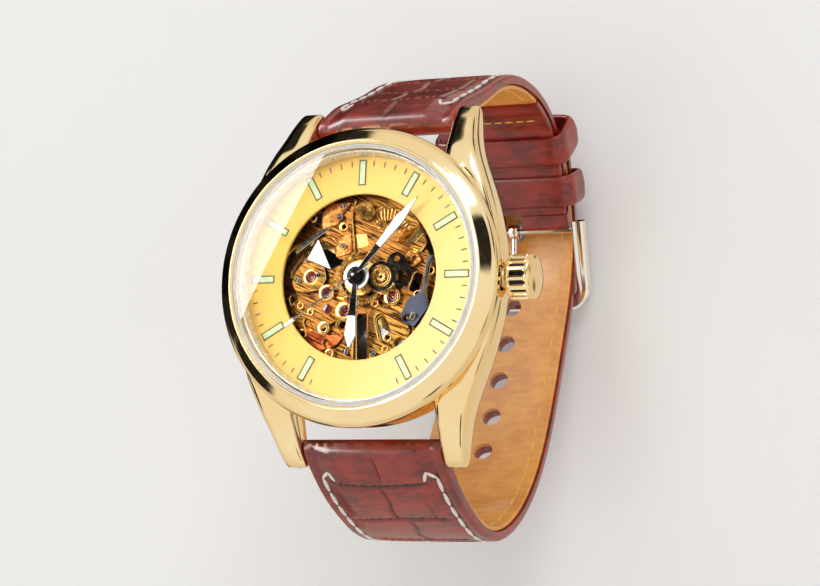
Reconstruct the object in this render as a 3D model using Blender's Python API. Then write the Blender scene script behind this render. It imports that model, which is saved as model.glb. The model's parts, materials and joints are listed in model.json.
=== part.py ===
"""Skeleton wristwatch on a buckled leather strap, dial up.

The frame: +Z is the dial's normal, +Y is twelve o'clock and +X is three o'clock. The origin is
the centre of the back crystal's outer face. Sizes are in millimetres until the last step.
"""

import math

import bmesh
import bpy
from mathutils import Matrix, Vector

MM = 0.001
TURN = 2 * math.pi
FINE, MEDIUM, COARSE = 32, 16, 10  # sides of a round piece

# Clearances
GAP = 0.04  # between fixed pieces that seat on one another
FREE = 0.10  # around a piece that moves
RUNNING = 0.05  # a pivot or arbor in its hole

# Case, sized outwards from the movement's plate
PLATE_R = 14.0
HOLDER_WALL = 2.72
HOLDER_R = PLATE_R + GAP + HOLDER_WALL
CASE_BORE_R = HOLDER_R + GAP
CASE_WALL = 2.6
CASE_R = CASE_BORE_R + CASE_WALL
BEZEL_R = CASE_R + 0.6
CASE_BOTTOM, CASE_TOP = 2.0, 9.0
BACK_R = CASE_R - 1.1
BACK_SEAT_R = 12.1  # the opening under the back crystal
BACK_CRYSTAL_R = BACK_SEAT_R + 0.7
BACK_CRYSTAL_T = 0.9
CRYSTAL_R = CASE_BORE_R + 0.3
CRYSTAL_BOTTOM = CASE_TOP + 2.15
CRYSTAL_T = 1.0
CRYSTAL_DOME = 0.45

# Strap widths, and the lugs and buckle that hold it
STRAP_W, STRAP_END_W = 20.0, 18.0
LUG_SPACE = STRAP_W + 0.2
LUG_TIP_X = LUG_SPACE / 2 + 2.9
LUG_ROOT_X = LUG_SPACE / 2 + 4.5
BAR_Y, BAR_Z, BAR_R = CASE_R + 3.0, 2.0, 0.45
LUG_TIP_Y = BAR_Y + 2.0
LUG_ROOT_Y = math.sqrt((CASE_BORE_R + 0.3) ** 2 - (LUG_SPACE / 2) ** 2)  # inside the case wall

# Dial and hands
DIAL_BOTTOM, DIAL_T = CASE_TOP - 0.05, 0.5
DIAL_R = CASE_BORE_R - 0.1
DIAL_OPENING_R = 11.0
TIME_HOUR, TIME_MINUTE, TIME_SECOND = 6, 6, 39.3
HOUR_HAND_Z, MINUTE_HAND_Z, SECONDS_HAND_Z = CASE_TOP + 1.1, CASE_TOP + 1.45, CASE_TOP + 1.8
HAND_T = 0.14
HOUR_HAND_L, MINUTE_HAND_L, SECONDS_HAND_L = 9.9, 13.5, 12.1

# Movement
PLATE_BOTTOM, PLATE_TOP = 6.9, 7.9
BRIDGE_BOTTOM, BRIDGE_TOP = 4.4, 3.6  # the bridges' inner and outer faces, seen from the dial
BRIDGE_R = PLATE_R - 0.4
ROTOR_R = PLATE_R - 0.7
TRAIN_DISTANCE = 5.0
CENTRE_TEETH, THIRD_LEAVES = 60, 8
THIRD_TEETH, FOURTH_LEAVES = 64, 8
FOURTH_TEETH, ESCAPE_LEAVES = 60, 6
ESCAPE_DISTANCE = 0.98 * TRAIN_DISTANCE
ESCAPE_TEETH, ESCAPE_WHEEL_R = 15, 2.5
BARREL_TEETH, CENTRE_LEAVES = 60, 10
BARREL_DISTANCE = 6.0
CANNON_TEETH, MINUTE_TEETH = 12, 36
MINUTE_LEAVES, HOUR_TEETH = 10, 40
MOTION_DISTANCE = 3.0
RATCHET_TEETH, CROWN_WHEEL_TEETH, WINDING_TEETH = 30, 18, 9
CROWN_WHEEL_X = 7.9
CROWN_WHEEL_MODULE = 0.3
WINDING_MODULE = 0.254
WINDING_L = 0.5
WINDING_X = CROWN_WHEEL_X + CROWN_WHEEL_MODULE * (CROWN_WHEEL_TEETH / 2 - 0.85) + 0.06
BALANCE_AT = (-7.5, 0.4)
BALANCE_R = 4.9
THIRD_ANGLE, ESCAPE_ANGLE = -30.0, -120.0
FORK_REACH = 3.6
FOOT_REACH = 3.0
SECONDS_ARBOR_R = 0.15
CENTRE_TUBE_R = 0.32
CANNON_TUBE_R = 0.46
HOUR_TUBE_R = 0.80

# Crown
STEM_Z = 5.9
STEM_R = 0.45
CROWN_R = 3.0
CROWN_START = CASE_R + 0.7
CROWN_L = 3.6
CROWN_PULL = 1.2
CROWN_FLUTES = 14
TUBE_R = 1.5

# Strap, as points of its mid thickness (y, z)
STRAP_PAD_T, STRAP_T = 3.9, 2.2
LINING_T = 0.7
STRAP_STEP, HOLE_STEP = 3.0, 0.35
LINING_START = 4.2  # past the spring bar
PAD_RUN = 22.0  # from the lug to where the padding ends
BUCKLE_AT = (16.5, -46.2)
FAR_BAR_AT = (6.0, -50.2)
WIDER = BAR_Y - 22.4  # how much farther apart the bars are than in the loop below
LOOP_DEPTH = 45.0
TAIL_POINTS = (
    (-21.2, 3.3), (-22.4, 2.0), (-25.0, -0.9), (-27.4, -4.4), (-29.4, -8.6), (-31.1, -13.5), (-31.5, -18.4),
    (-30.6, -22.9), (-28.6, -27.2), (-25.8, -31.1), (-22.2, -34.6), (-18.2, -37.4), (-14.0, -39.7),
    (-9.0, -41.9), (-3.0, -44.3), (2.6, -46.4), (6.2, -47.6), (9.5, -48.4), (13.5, -48.9),
    (17.5, -48.5), (21.0, -47.45), (24.3, -46.05), (27.6, -44.3), (30.6, -42.0), (33.0, -39.1),
)
BUCKLE_POINTS = (
    (21.3, 3.4), (22.4, 2.0), (24.9, -1.4), (26.8, -5.4), (28.8, -9.7), (31.0, -13.9), (32.6, -18.0),
    (33.5, -22.4), (33.7, -26.6), (33.3, -30.8), (32.0, -35.2), (29.6, -39.1), (26.6, -41.8),
    (23.2, -43.7), (19.8, -45.1), BUCKLE_AT,
)
HOLE_R = 1.45
HOLE_PITCH = 6.3
HOLES_BEFORE, HOLES_AFTER = 5, 1  # on each side of the buckled hole
TONGUE_HOLE_Y = 10.65
KEEPER_L, KEEPER_T = 4.6, 1.0
FIXED_KEEPER_Y, FIXED_KEEPER_FREE = 22.5, 0.25
FLOATING_KEEPER_Y, FLOATING_KEEPER_FREE = 28.6, 0.6
BUCKLE_BAND = 2.0
BUCKLE_W = STRAP_END_W + 2 * BUCKLE_BAND + 0.6
BUCKLE_BAR_R = 0.5
TONGUE_R = 0.45


def material(name, colour, roughness, metallic):
    made = bpy.data.materials.new(name)
    made.use_nodes = True
    shader = made.node_tree.nodes["Principled BSDF"]
    shader.inputs["Base Color"].default_value = (*colour, 1)
    shader.inputs["Roughness"].default_value = roughness
    shader.inputs["Metallic"].default_value = metallic
    return made


def finish(name, bm, finish_material, at=(0, 0, 0)):
    """Turn a bmesh in millimetres into a named object, shaded smooth with sharp corners kept."""
    bmesh.ops.recalc_face_normals(bm, faces=bm.faces)
    bmesh.ops.transform(bm, matrix=Matrix.Diagonal((MM, MM, MM, 1)), verts=bm.verts)
    mesh = bpy.data.meshes.new(name)
    bm.to_mesh(mesh)
    bm.free()
    mesh.shade_smooth()
    mesh.set_sharp_from_angle(angle=math.radians(35))
    made = bpy.data.objects.new(name, mesh)
    made.location = [MM * value for value in at]
    mesh.materials.append(finish_material)
    bpy.context.scene.collection.objects.link(made)
    return made


def boolean(target, other, operation):
    """Join or cut with a hidden helper."""
    other.hide_render = True
    other.display_type = "WIRE"
    modifier = target.modifiers.new(operation.title() + " " + other.name, "BOOLEAN")
    modifier.operation = operation
    modifier.solver = "EXACT"
    modifier.object = other
    return target


def cut(target, *others):
    for other in others:
        boolean(target, other, "DIFFERENCE")
    return target


def join(target, *others):
    for other in others:
        boolean(target, other, "UNION")
    return target


def turned(name, profile, finish_material, at=(0, 0, 0), sides=FINE):
    """Spin a profile of (radius, height) points round Z: open if it ends on the axis."""
    bm = bmesh.new()
    corners = [bm.verts.new((radius, 0, height)) for radius, height in profile]
    edges = [bm.edges.new(pair) for pair in zip(corners, corners[1:])]
    if profile[0][0] > 0:
        edges.append(bm.edges.new((corners[-1], corners[0])))
    bmesh.ops.spin(
        bm, geom=corners + edges, cent=(0, 0, 0), axis=(0, 0, 1), angle=TURN, steps=sides,
        use_merge=True, use_duplicate=False,
    )
    bmesh.ops.remove_doubles(bm, verts=bm.verts, dist=1e-6)
    return finish(name, bm, finish_material, at)


def ring(name, inner, outer, low, high, finish_material, at=(0, 0, 0), sides=FINE):
    profile = ((inner, high), (outer, high), (outer, low), (inner, low))
    return turned(name, profile, finish_material, at, sides)


def disc(name, radius, low, high, finish_material, at=(0, 0, 0), sides=COARSE):
    profile = ((0, high), (radius, high), (radius, low), (0, low))
    return turned(name, profile, finish_material, at, sides)


def plate(name, outline, low, high, finish_material, at=(0, 0, 0), holes=()):
    """A flat piece between two heights, with its holes cut through."""
    bm = bmesh.new()
    edges = []
    for loop in (outline, *holes):
        corners = [bm.verts.new((x, y, low)) for x, y in loop]
        edges += [bm.edges.new(pair) for pair in zip(corners, corners[1:] + corners[:1])]
    bmesh.ops.triangle_fill(bm, edges=edges, use_beauty=True, normal=(0, 0, -1))
    grown = bmesh.ops.extrude_face_region(bm, geom=bm.faces[:])
    raised = [part for part in grown["geom"] if isinstance(part, bmesh.types.BMVert)]
    bmesh.ops.translate(bm, verts=raised, vec=(0, 0, high - low))
    return finish(name, bm, finish_material, at)


def polar(radius, degrees):
    return (radius * math.cos(math.radians(degrees)), radius * math.sin(math.radians(degrees)))


def circle(radius, at=(0, 0), sides=COARSE):
    return [(at[0] + x, at[1] + y) for x, y in (polar(radius, 360 * i / sides) for i in range(sides))]


def sector(inner, outer, start, end, step=12, at=(0, 0)):
    """The outline of part of a ring, between two angles in degrees."""
    count = max(2, round((end - start) / step))
    angles = [start + (end - start) * i / count for i in range(count + 1)]
    outside = [polar(outer, a) for a in angles]
    inside = [polar(inner, a) for a in reversed(angles)] if inner > 0 else [(0, 0)]
    return [(at[0] + x, at[1] + y) for x, y in outside + inside]


def bar_outline(start, end, start_r, end_r, steps=6):
    """Two round ends of their own radii, joined by straight sides."""
    run = math.degrees(math.atan2(end[1] - start[1], end[0] - start[0]))
    points = []
    for at, radius, middle in ((start, start_r, run + 180), (end, end_r, run)):
        for i in range(steps + 1):
            x, y = polar(radius, middle - 90 + 180 * i / steps)
            points.append((at[0] + x, at[1] + y))
    return points


def tooth_outline(teeth, module, phase=0.0):
    """Narrow teeth with plenty of play: pointed on a wheel, and flat-tipped on a pinion."""
    tip = module * (teeth / 2 + 0.62)
    root = module * (teeth / 2 - 0.85)
    pitch = 360 / teeth
    points = []
    for i in range(teeth):
        middle = phase + i * pitch
        points.append(polar(root, middle - 0.24 * pitch))
        if teeth > 20:
            points.append(polar(tip, middle))
        else:
            points += [polar(tip, middle - 0.08 * pitch), polar(tip, middle + 0.08 * pitch)]
        points.append(polar(root, middle + 0.24 * pitch))
    return points


def gear(name, teeth, module, low, high, finish_material, at=(0, 0, 0), phase=0.0, bore=0.0, windows=()):
    holes = list(windows)
    if bore:
        holes.append(circle(bore))
    return plate(name, tooth_outline(teeth, module, phase), low, high, finish_material, at, holes)


def spokes(inner, outer, count, width=0.55, phase=0.0):
    """The windows between a wheel's spokes."""
    share = 360 / count
    found = []
    for i in range(count):
        start, end = phase + i * share, phase + (i + 1) * share
        side_in = math.degrees(width / 2 / inner)
        side_out = math.degrees(width / 2 / outer)
        steps = 3
        far = [
            polar(outer, start + side_out + (share - 2 * side_out) * k / steps)
            for k in range(steps + 1)
        ]
        near = [polar(inner, end - side_in), polar(inner, start + side_in)]
        found.append(far + near)
    return found


def mesh_phase(first_phase, first_teeth, second_teeth, direction):
    """The second wheel's phase, so that a gap faces the first wheel's tooth along the line of centres."""
    offset = (direction - first_phase) / (360 / first_teeth)
    share = offset - math.floor(offset)
    return direction + 180 + (share + 0.5) * 360 / second_teeth


def smooth_path(points, step):
    """Catmull-Rom curve through the points, read off at even steps along its length."""
    ends = [2 * Vector(points[0]) - Vector(points[1]), 2 * Vector(points[-1]) - Vector(points[-2])]
    chain = [ends[0], *[Vector(p) for p in points], ends[1]]
    fine = []
    for a, b, c, d in zip(chain, chain[1:], chain[2:], chain[3:]):
        for i in range(12):
            t = i / 12
            fine.append(
                0.5 * (
                    2 * b + (c - a) * t + (
                        2 * a - 5 * b + 4 * c - d
                    ) * t**2 + (3 * b - a - 3 * c + d) * t**3
                )
            )
    fine.append(chain[-2])
    lengths = [0.0]
    for a, b in zip(fine, fine[1:]):
        lengths.append(lengths[-1] + (b - a).length)
    count = max(2, round(lengths[-1] / step))
    found, k = [], 0
    for i in range(count + 1):
        wanted = lengths[-1] * i / count
        while k < len(fine) - 2 and lengths[k + 1] < wanted:
            k += 1
        share = (wanted - lengths[k]) / max(lengths[k + 1] - lengths[k], 1e-9)
        found.append(fine[k].lerp(fine[k + 1], min(max(share, 0), 1)))
    return found


def loop_path(points, step):
    """A strap half's route, moved apart at the top as far as the bars are, and not at all at the bottom."""
    moved = [
        (y + math.copysign(WIDER, y) * min(max(1 + (z - BAR_Z) / LOOP_DEPTH, 0), 1), z) for y, z in points
    ]
    return smooth_path(moved, step)


def outward(path, i):
    """The unit normal of a loop path that points away from the wrist."""
    along = (path[min(i + 1, len(path) - 1)] - path[max(i - 1, 0)]).normalized()
    side = Vector((along.y, -along.x))
    centre = Vector((0, -22))
    return side if side.dot(path[i] - centre) > 0 else -side


def ribbon(name, path, widths, inner, outer, finish_material):
    """Loft a strap: four corners at each point of the path, at signed heights along its outward normal."""
    bm = bmesh.new()
    rings = []
    for i, point in enumerate(path):
        normal = outward(path, i)
        low, high = point + inner[i] * normal, point + outer[i] * normal
        half = widths[i] / 2
        corners = ((-half, low), (half, low), (half, high), (-half, high))
        rings.append([bm.verts.new((x, p.x, p.y)) for x, p in corners])
    for a, b in zip(rings, rings[1:]):
        for k in range(4):
            bm.faces.new((a[k], a[(k + 1) % 4], b[(k + 1) % 4], b[k]))
    bm.faces.new(rings[0])
    bm.faces.new(rings[-1][::-1])
    return finish(name, bm, finish_material)


def rod(name, start, end, radius, finish_material, sides=COARSE):
    """A straight round rod between two points."""
    start, end = Vector(start), Vector(end)
    bm = bmesh.new()
    bmesh.ops.create_cone(
        bm, cap_ends=True, segments=sides, radius1=radius, radius2=radius, depth=(end - start).length,
    )
    turn = (end - start).to_track_quat("Z", "Y").to_matrix().to_4x4()
    bmesh.ops.transform(bm, matrix=Matrix.Translation((start + end) / 2) @ turn, verts=bm.verts)
    return finish(name, bm, finish_material)


def box(name, low, high, finish_material):
    bm = bmesh.new()
    bmesh.ops.create_cube(bm, size=1)
    size = Vector(high) - Vector(low)
    middle = (Vector(high) + Vector(low)) / 2
    bmesh.ops.transform(bm, matrix=Matrix.Translation(middle) @ Matrix.Diagonal((*size, 1)), verts=bm.verts)
    return finish(name, bm, finish_material)


def hand(name, outline, hub_r, bore, level, clock_degrees, finish_material):
    """A flat hand drawn along +Y with its hub at the centre, turned clockwise to its time."""
    turn = math.radians(-clock_degrees)
    hub = circle(hub_r, sides=MEDIUM)
    blade = [
        (x * math.cos(turn) - y * math.sin(turn), x * math.sin(turn) + y * math.cos(turn))
        for x, y in outline
    ]
    made = plate(name, hub, level, level + HAND_T, finish_material)
    join(made, plate(name + "_blade", blade, level, level + HAND_T, finish_material))
    return cut(made, disc(name + "_bore", bore, level - 1, level + 1, finish_material))


def make_case():
    gold = STYLE["gold"]
    profile = (
        (CASE_BORE_R, CASE_TOP), (CASE_R - 0.3, CASE_TOP), (CASE_R, CASE_TOP - 0.6), (CASE_R - 0.2, 5.5),
        (BACK_R + 0.5, CASE_BOTTOM + 0.6), (BACK_R, CASE_BOTTOM), (CASE_BORE_R, CASE_BOTTOM),
    )
    case = turned("mid_case", profile, gold)
    for name, across, along in (("lug_a", 1, 1), ("lug_b", -1, 1), ("lug_c", 1, -1), ("lug_d", -1, -1)):
        join(case, lug(name, across, along))
    for along in (1, -1):
        reach = LUG_SPACE / 2 + 1.3
        cut(
            case,
            rod(
                f"bar_hole_{along}", (-reach, along * BAR_Y, BAR_Z), (reach, along * BAR_Y, BAR_Z),
                BAR_R + GAP, gold,
            ),
        )
    cut(
        case,
        rod(
            "tube_hole", (CASE_BORE_R - 1.8, 0, STEM_Z), (CASE_R + 1.6, 0, STEM_Z), TUBE_R + GAP, gold,
            MEDIUM,
        ),
    )

    seat = CRYSTAL_R + 0.33
    bezel = (
        (seat, CRYSTAL_BOTTOM + 0.95), (
            seat + 0.35, CRYSTAL_BOTTOM + 0.9,
        ), (BEZEL_R - 0.15, CASE_TOP + 1.35), (BEZEL_R, CASE_TOP + 1),
        (BEZEL_R - 0.15, CASE_TOP + GAP), (CASE_BORE_R + 0.05, CASE_TOP + GAP), (
            CASE_BORE_R - 0.1, CRYSTAL_BOTTOM - GAP,
        ),
        (seat, CRYSTAL_BOTTOM - GAP),
    )
    turned("bezel", bezel, gold)
    top = CRYSTAL_BOTTOM + CRYSTAL_T
    crystal = (
        (0, top + CRYSTAL_DOME), (6, top + CRYSTAL_DOME * 0.88), (
            12, top + CRYSTAL_DOME * 0.45,
        ), (CRYSTAL_R - 0.6, top),
        (CRYSTAL_R, top - 0.3), (CRYSTAL_R, CRYSTAL_BOTTOM), (0, CRYSTAL_BOTTOM),
    )
    turned("crystal", crystal, STYLE["glass"])
    ring(
        "crystal_gasket", CRYSTAL_R + GAP, seat - GAP, CRYSTAL_BOTTOM, top - 0.35, STYLE["white"],
        sides=FINE,
    )
    floor = DIAL_BOTTOM + DIAL_T
    rehaut = (
        (
            CASE_BORE_R - 0.45, CRYSTAL_BOTTOM - 0.08,
        ), (CASE_BORE_R - 0.15, CRYSTAL_BOTTOM - 0.08), (CASE_BORE_R - 0.15, floor + GAP),
        (CASE_BORE_R - 0.8, floor + GAP),
    )
    turned("rehaut_ring", rehaut, STYLE["silver"])

    hole = BACK_CRYSTAL_R + GAP
    back = (
        (
            BACK_SEAT_R, CASE_BOTTOM - GAP,
        ), (BACK_R, CASE_BOTTOM - GAP), (BACK_R, CASE_BOTTOM - 0.6), (BACK_R - 0.9, 0.15),
        (hole, 0.15), (hole, BACK_CRYSTAL_T + 0.3), (BACK_SEAT_R, BACK_CRYSTAL_T + 0.3),
    )
    turned("case_back", back, gold)
    disc("back_crystal", BACK_CRYSTAL_R, 0, BACK_CRYSTAL_T, STYLE["glass"], sides=FINE)
    ring(
        "back_gasket", BACK_SEAT_R + 0.05, BACK_CRYSTAL_R - 0.1, BACK_CRYSTAL_T + GAP,
        BACK_CRYSTAL_T + 0.26, STYLE["rubber"],
    )
    holder = ring(
        "movement_holder", PLATE_R + GAP, HOLDER_R, CASE_BOTTOM + 1.2, DIAL_BOTTOM - GAP,
        STYLE["silver"],
    )
    cut(
        holder,
        rod("holder_hole", (PLATE_R - 2, 0, STEM_Z), (CASE_BORE_R + 1.2, 0, STEM_Z), 1.1, gold, MEDIUM),
    )
    ring("crown_tube", STEM_R + RUNNING, TUBE_R, 0, CASE_WALL + 0.6, STYLE["steel"], sides=MEDIUM)
    point_along_x(bpy.data.objects["crown_tube"], CASE_BORE_R + 0.15)


def lug(name, across, along):
    """A horn that flows down from the case side in an S and ends round near the wrist."""
    side = (
        (LUG_ROOT_Y, CASE_TOP - 0.3), (LUG_ROOT_Y + 1.7, CASE_TOP - 0.8), (LUG_ROOT_Y + 4, CASE_TOP - 1.8),
        (BAR_Y - 2.6, CASE_TOP - 3.2), (BAR_Y - 0.6, BAR_Z + 2.5), (BAR_Y + 1, BAR_Z + 1.3),
        (LUG_TIP_Y, BAR_Z - 0.1), (LUG_TIP_Y - 0.1, BAR_Z - 1.1), (LUG_TIP_Y - 1, BAR_Z - 1.65),
        (BAR_Y - 0.4, BAR_Z - 1.5), (BAR_Y - 2.4, BAR_Z - 0.8), (LUG_ROOT_Y + 3.7, CASE_BOTTOM),
        (LUG_ROOT_Y, CASE_BOTTOM + 0.3),
    )
    bm = bmesh.new()
    rings = []
    for inside in (True, False):
        corners = []
        for y, z in side:
            share = (y - LUG_ROOT_Y) / (LUG_TIP_Y - LUG_ROOT_Y)
            far = LUG_ROOT_X + (LUG_TIP_X - LUG_ROOT_X) * share
            x = LUG_SPACE / 2 if inside else far
            corners.append(bm.verts.new((across * x, along * y, z)))
        rings.append(corners)
    bm.faces.new(rings[0])
    bm.faces.new(rings[1])
    for i in range(len(side)):
        j = (i + 1) % len(side)
        bm.faces.new((rings[0][i], rings[0][j], rings[1][j], rings[1][i]))
    return finish(name, bm, STYLE["gold"])


def point_along_x(made, x, z=STEM_Z):
    """Lay a piece that was turned about Z along +X at the stem's height."""
    made.rotation_euler = (0, math.pi / 2, 0)
    made.location = (MM * x, 0, MM * z)


def make_crown():
    points = []
    for i in range(CROWN_FLUTES):
        middle = 360 * i / CROWN_FLUTES
        for offset, radius in ((-9, 0.9), (-5, 1), (5, 1), (9, 0.9)):
            points.append(polar(CROWN_R * radius, middle + offset))
    length = CROWN_L
    recess = circle(TUBE_R + 0.35, sides=MEDIUM)
    crown = plate("crown", points, 0, length - 0.5, STYLE["gold"])
    cap = (
        (0, length + 0.15), (1.4, length), (CROWN_R - 0.55, length - 0.45),
        (CROWN_R - 0.5, length - 0.9), (0, length - 0.9),
    )
    domed = turned("crown_cap", cap, STYLE["gold"], sides=MEDIUM)
    socket = plate("crown_socket", recess, -1, 1.1, STYLE["gold"])
    bore = plate("crown_bore", circle(STEM_R - 0.01, sides=COARSE), 0.9, 2.2, STYLE["gold"])
    for piece in (crown, domed, socket, bore):
        point_along_x(piece, CROWN_START)
    join(crown, domed)
    cut(crown, socket, bore)
    rod("stem", (9.6, 0, STEM_Z), (CROWN_START + 2.1, 0, STEM_Z), STEM_R - 0.03, STYLE["steel"])
    ring("crown_seal", STEM_R + 0.03, TUBE_R + 0.2, 0, 0.3, STYLE["rubber"], sides=MEDIUM)
    point_along_x(bpy.data.objects["crown_seal"], CROWN_START + 0.6)
    pinion = gear(
        "winding_pinion", WINDING_TEETH, WINDING_MODULE, 0, WINDING_L, STYLE["steel"],
        bore=STEM_R + RUNNING,
    )
    point_along_x(pinion, WINDING_X)


def make_strap():
    for name, points, lining_end in (
        ("strap_tail", TAIL_POINTS, 2.5), ("strap_buckle", BUCKLE_POINTS, 6.0),
    ):
        path = loop_path(points, STRAP_STEP)
        last = len(path) - 1
        along = [STRAP_STEP * i for i in range(last + 1)]
        total = along[-1]
        thick = [STRAP_T + (STRAP_PAD_T - STRAP_T) * max(0, 1 - s / PAD_RUN) ** 1.3 for s in along]
        widths = [STRAP_W + (STRAP_END_W - STRAP_W) * min(1, s / (total * 0.8)) for s in along]
        if name == "strap_tail":
            widths[-1] = STRAP_END_W * 0.45
            widths[-2] = STRAP_END_W * 0.88
        lined = [LINING_START < s < total - lining_end for s in along]
        inner = [-t / 2 + (LINING_T + GAP if flag else 0) for t, flag in zip(thick, lined)]
        outer = [t / 2 for t in thick]
        leather = ribbon(name, path, widths, inner, outer, STYLE["leather"])
        inside = [i for i in range(last + 1) if lined[i]][1:-1]
        lining = ribbon(
            name + "_lining", [path[i] for i in inside], [widths[i] for i in inside],
            [-thick[i] / 2 for i in inside], [-thick[i] / 2 + LINING_T for i in inside], STYLE["lining"],
        )
        side = math.copysign(1, points[0][0])
        reach = STRAP_W / 2 + 2
        ends = (-reach, side * BAR_Y, BAR_Z), (reach, side * BAR_Y, BAR_Z)
        end_hole = rod(name + "_bar_hole", *ends, BAR_R + GAP, STYLE["steel"])
        cut(leather, end_hole)
        if name == "strap_tail":
            cutters = hole_cutters(points)
            cut(leather, *cutters)
            cut(lining, *cutters)


def hole_cutters(points):
    """Round punches along the tail, counted from the hole that the tongue is in."""
    path = loop_path(points, HOLE_STEP)
    buckled = min(range(len(path)), key=lambda i: abs(path[i].x - TONGUE_HOLE_Y))
    cutters = []
    for k in range(-HOLES_BEFORE, HOLES_AFTER + 1):
        i = buckled + round(k * HOLE_PITCH / HOLE_STEP)
        point, normal = path[i], outward(path, i)
        low, high = point - 4 * normal, point + 4 * normal
        name = f"punch_{k + HOLES_BEFORE}"
        cutters.append(rod(name, (0, low.x, low.y), (0, high.x, high.y), HOLE_R, STYLE["steel"]))
    return cutters


def keeper(name, centre_y, free):
    """A leather loop round both layers of the buckled strap."""
    path = loop_path(BUCKLE_POINTS, 0.5)
    i = min(range(len(path) // 2, len(path)), key=lambda k: abs(path[k].x - centre_y))
    point, normal = path[i], outward(path, i)
    along = Vector((normal.y, -normal.x))
    low = -STRAP_T / 2 - free
    high = STRAP_T * 1.5 + 0.35 + free
    half = STRAP_END_W / 2 + 0.5
    bm = bmesh.new()
    loops = []
    for run in (-KEEPER_L / 2, KEEPER_L / 2):
        for grow in (0, KEEPER_T):
            corners = []
            for x, up in (
                (-half - grow, low - grow), (half + grow, low - grow), (half + grow, high + grow),
                (-half - grow, high + grow),
            ):
                place = point + up * normal + run * along
                corners.append(bm.verts.new((x, place.x, place.y)))
            loops.append(corners)
    near_in, near_out, far_in, far_out = loops
    for a, b in ((near_in, near_out), (near_out, far_out), (far_out, far_in), (far_in, near_in)):
        for k in range(4):
            j = (k + 1) % 4
            bm.faces.new((a[k], a[j], b[j], b[k]))
    return finish(name, bm, STYLE["leather"])


def make_buckle():
    steel = STYLE["silver"]
    pivot, far = Vector(BUCKLE_AT), Vector(FAR_BAR_AT)
    along = (far - pivot).normalized()
    back = pivot - 1.4 * along
    half, band = BUCKLE_W / 2, BUCKLE_BAND
    frame = rod("buckle_frame", (-half, far.x, far.y), (half, far.x, far.y), band / 2, steel)
    for side in (-1, 1):
        x = side * (half - band / 2)
        join(
            frame,
            rod(f"buckle_arm_{side}", (x, back.x, back.y), (x, far.x, far.y), band / 2 - 0.04, steel),
        )
    cut(
        frame,
        rod("buckle_bar_hole", (-half - 1, *BUCKLE_AT), (half + 1, *BUCKLE_AT), BUCKLE_BAR_R + GAP, steel),
    )
    rod("buckle_bar", (-half + 0.3, *BUCKLE_AT), (half - 0.3, *BUCKLE_AT), BUCKLE_BAR_R, STYLE["steel"])

    strap_end = bpy.data.objects["strap_buckle"]
    cut(strap_end, rod("fold_hole", (-half, *BUCKLE_AT), (half, *BUCKLE_AT), BUCKLE_BAR_R + GAP, steel))
    path = loop_path(BUCKLE_POINTS, STRAP_STEP)
    inward = (path[-2] - path[-1]).normalized()
    reach = 2.6
    low = Vector(BUCKLE_AT) - inward * 3
    notch = rod(
        "tongue_notch", (0, low.x, low.y), (0, *(Vector(BUCKLE_AT) + inward * reach)), 1.8, steel,
        sides=4,
    )
    cut(strap_end, notch)

    tongue = ring("buckle_tongue", BUCKLE_BAR_R + RUNNING, 1.15, -0.7, 0.7, steel, sides=COARSE)
    tongue.rotation_euler = (0, math.pi / 2, 0)
    tongue.location = (0, MM * pivot.x, MM * pivot.y)
    route = (
        (15.6, -46.55), (14.0, -46.7), (12.3, -46.85), (11.2, -47.5), (10.4, -48.9), (9.4, -50.2),
        (7.9, -51.25), (5.8, -51.85), (4.4, -51.9),
    )
    blade = ribbon(
        "tongue_blade", [Vector(p) for p in route], [1.3] * 8 + [1.0],
        [-TONGUE_R] * len(route), [TONGUE_R] * len(route), steel,
    )
    join(tongue, blade)
    for along_y, name in ((1, "spring_bar_12"), (-1, "spring_bar_6")):
        reach = LUG_SPACE / 2 + 1.1
        rod(name, (-reach, along_y * BAR_Y, BAR_Z), (reach, along_y * BAR_Y, BAR_Z), BAR_R, STYLE["steel"])


def make_dial():
    opening = circle(DIAL_OPENING_R, sides=FINE)
    plate(
        "dial", circle(DIAL_R, sides=FINE), DIAL_BOTTOM, DIAL_BOTTOM + DIAL_T, STYLE["champagne"],
        holes=(opening,),
    )
    minute_angle = 6 * (TIME_MINUTE + TIME_SECOND / 60)
    hour_angle = 30 * (TIME_HOUR + minute_angle / 360)
    black = STYLE["black"]
    hour = [
        (-0.5, 0.6), (-0.62, 3.5), (-0.9, HOUR_HAND_L * 0.74), (0, HOUR_HAND_L),
        (0.9, HOUR_HAND_L * 0.74), (0.62, 3.5), (0.5, 0.6),
    ]
    hand("hour_hand", hour, 1.25, HOUR_TUBE_R + GAP, HOUR_HAND_Z, hour_angle, black)
    wide = 0.72
    minute = [
        (-0.4, 0.4), (-wide, MINUTE_HAND_L * 0.7), (0, MINUTE_HAND_L), (wide, MINUTE_HAND_L * 0.7),
        (0.4, 0.4),
    ]
    hand("minute_hand", minute, 0.95, CANNON_TUBE_R + GAP, MINUTE_HAND_Z, minute_angle, black)
    second = [
        (-0.14, -2.9), (-0.11, 9.6), (-0.3, 10.2), (-0.3, 11.4), (0, SECONDS_HAND_L), (0.3, 11.4),
        (0.3, 10.2), (0.11, 9.6), (0.14, -2.9),
    ]
    hand("seconds_hand", second, 0.55, SECONDS_ARBOR_R + GAP / 2, SECONDS_HAND_Z, 6 * TIME_SECOND, black)


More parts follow.
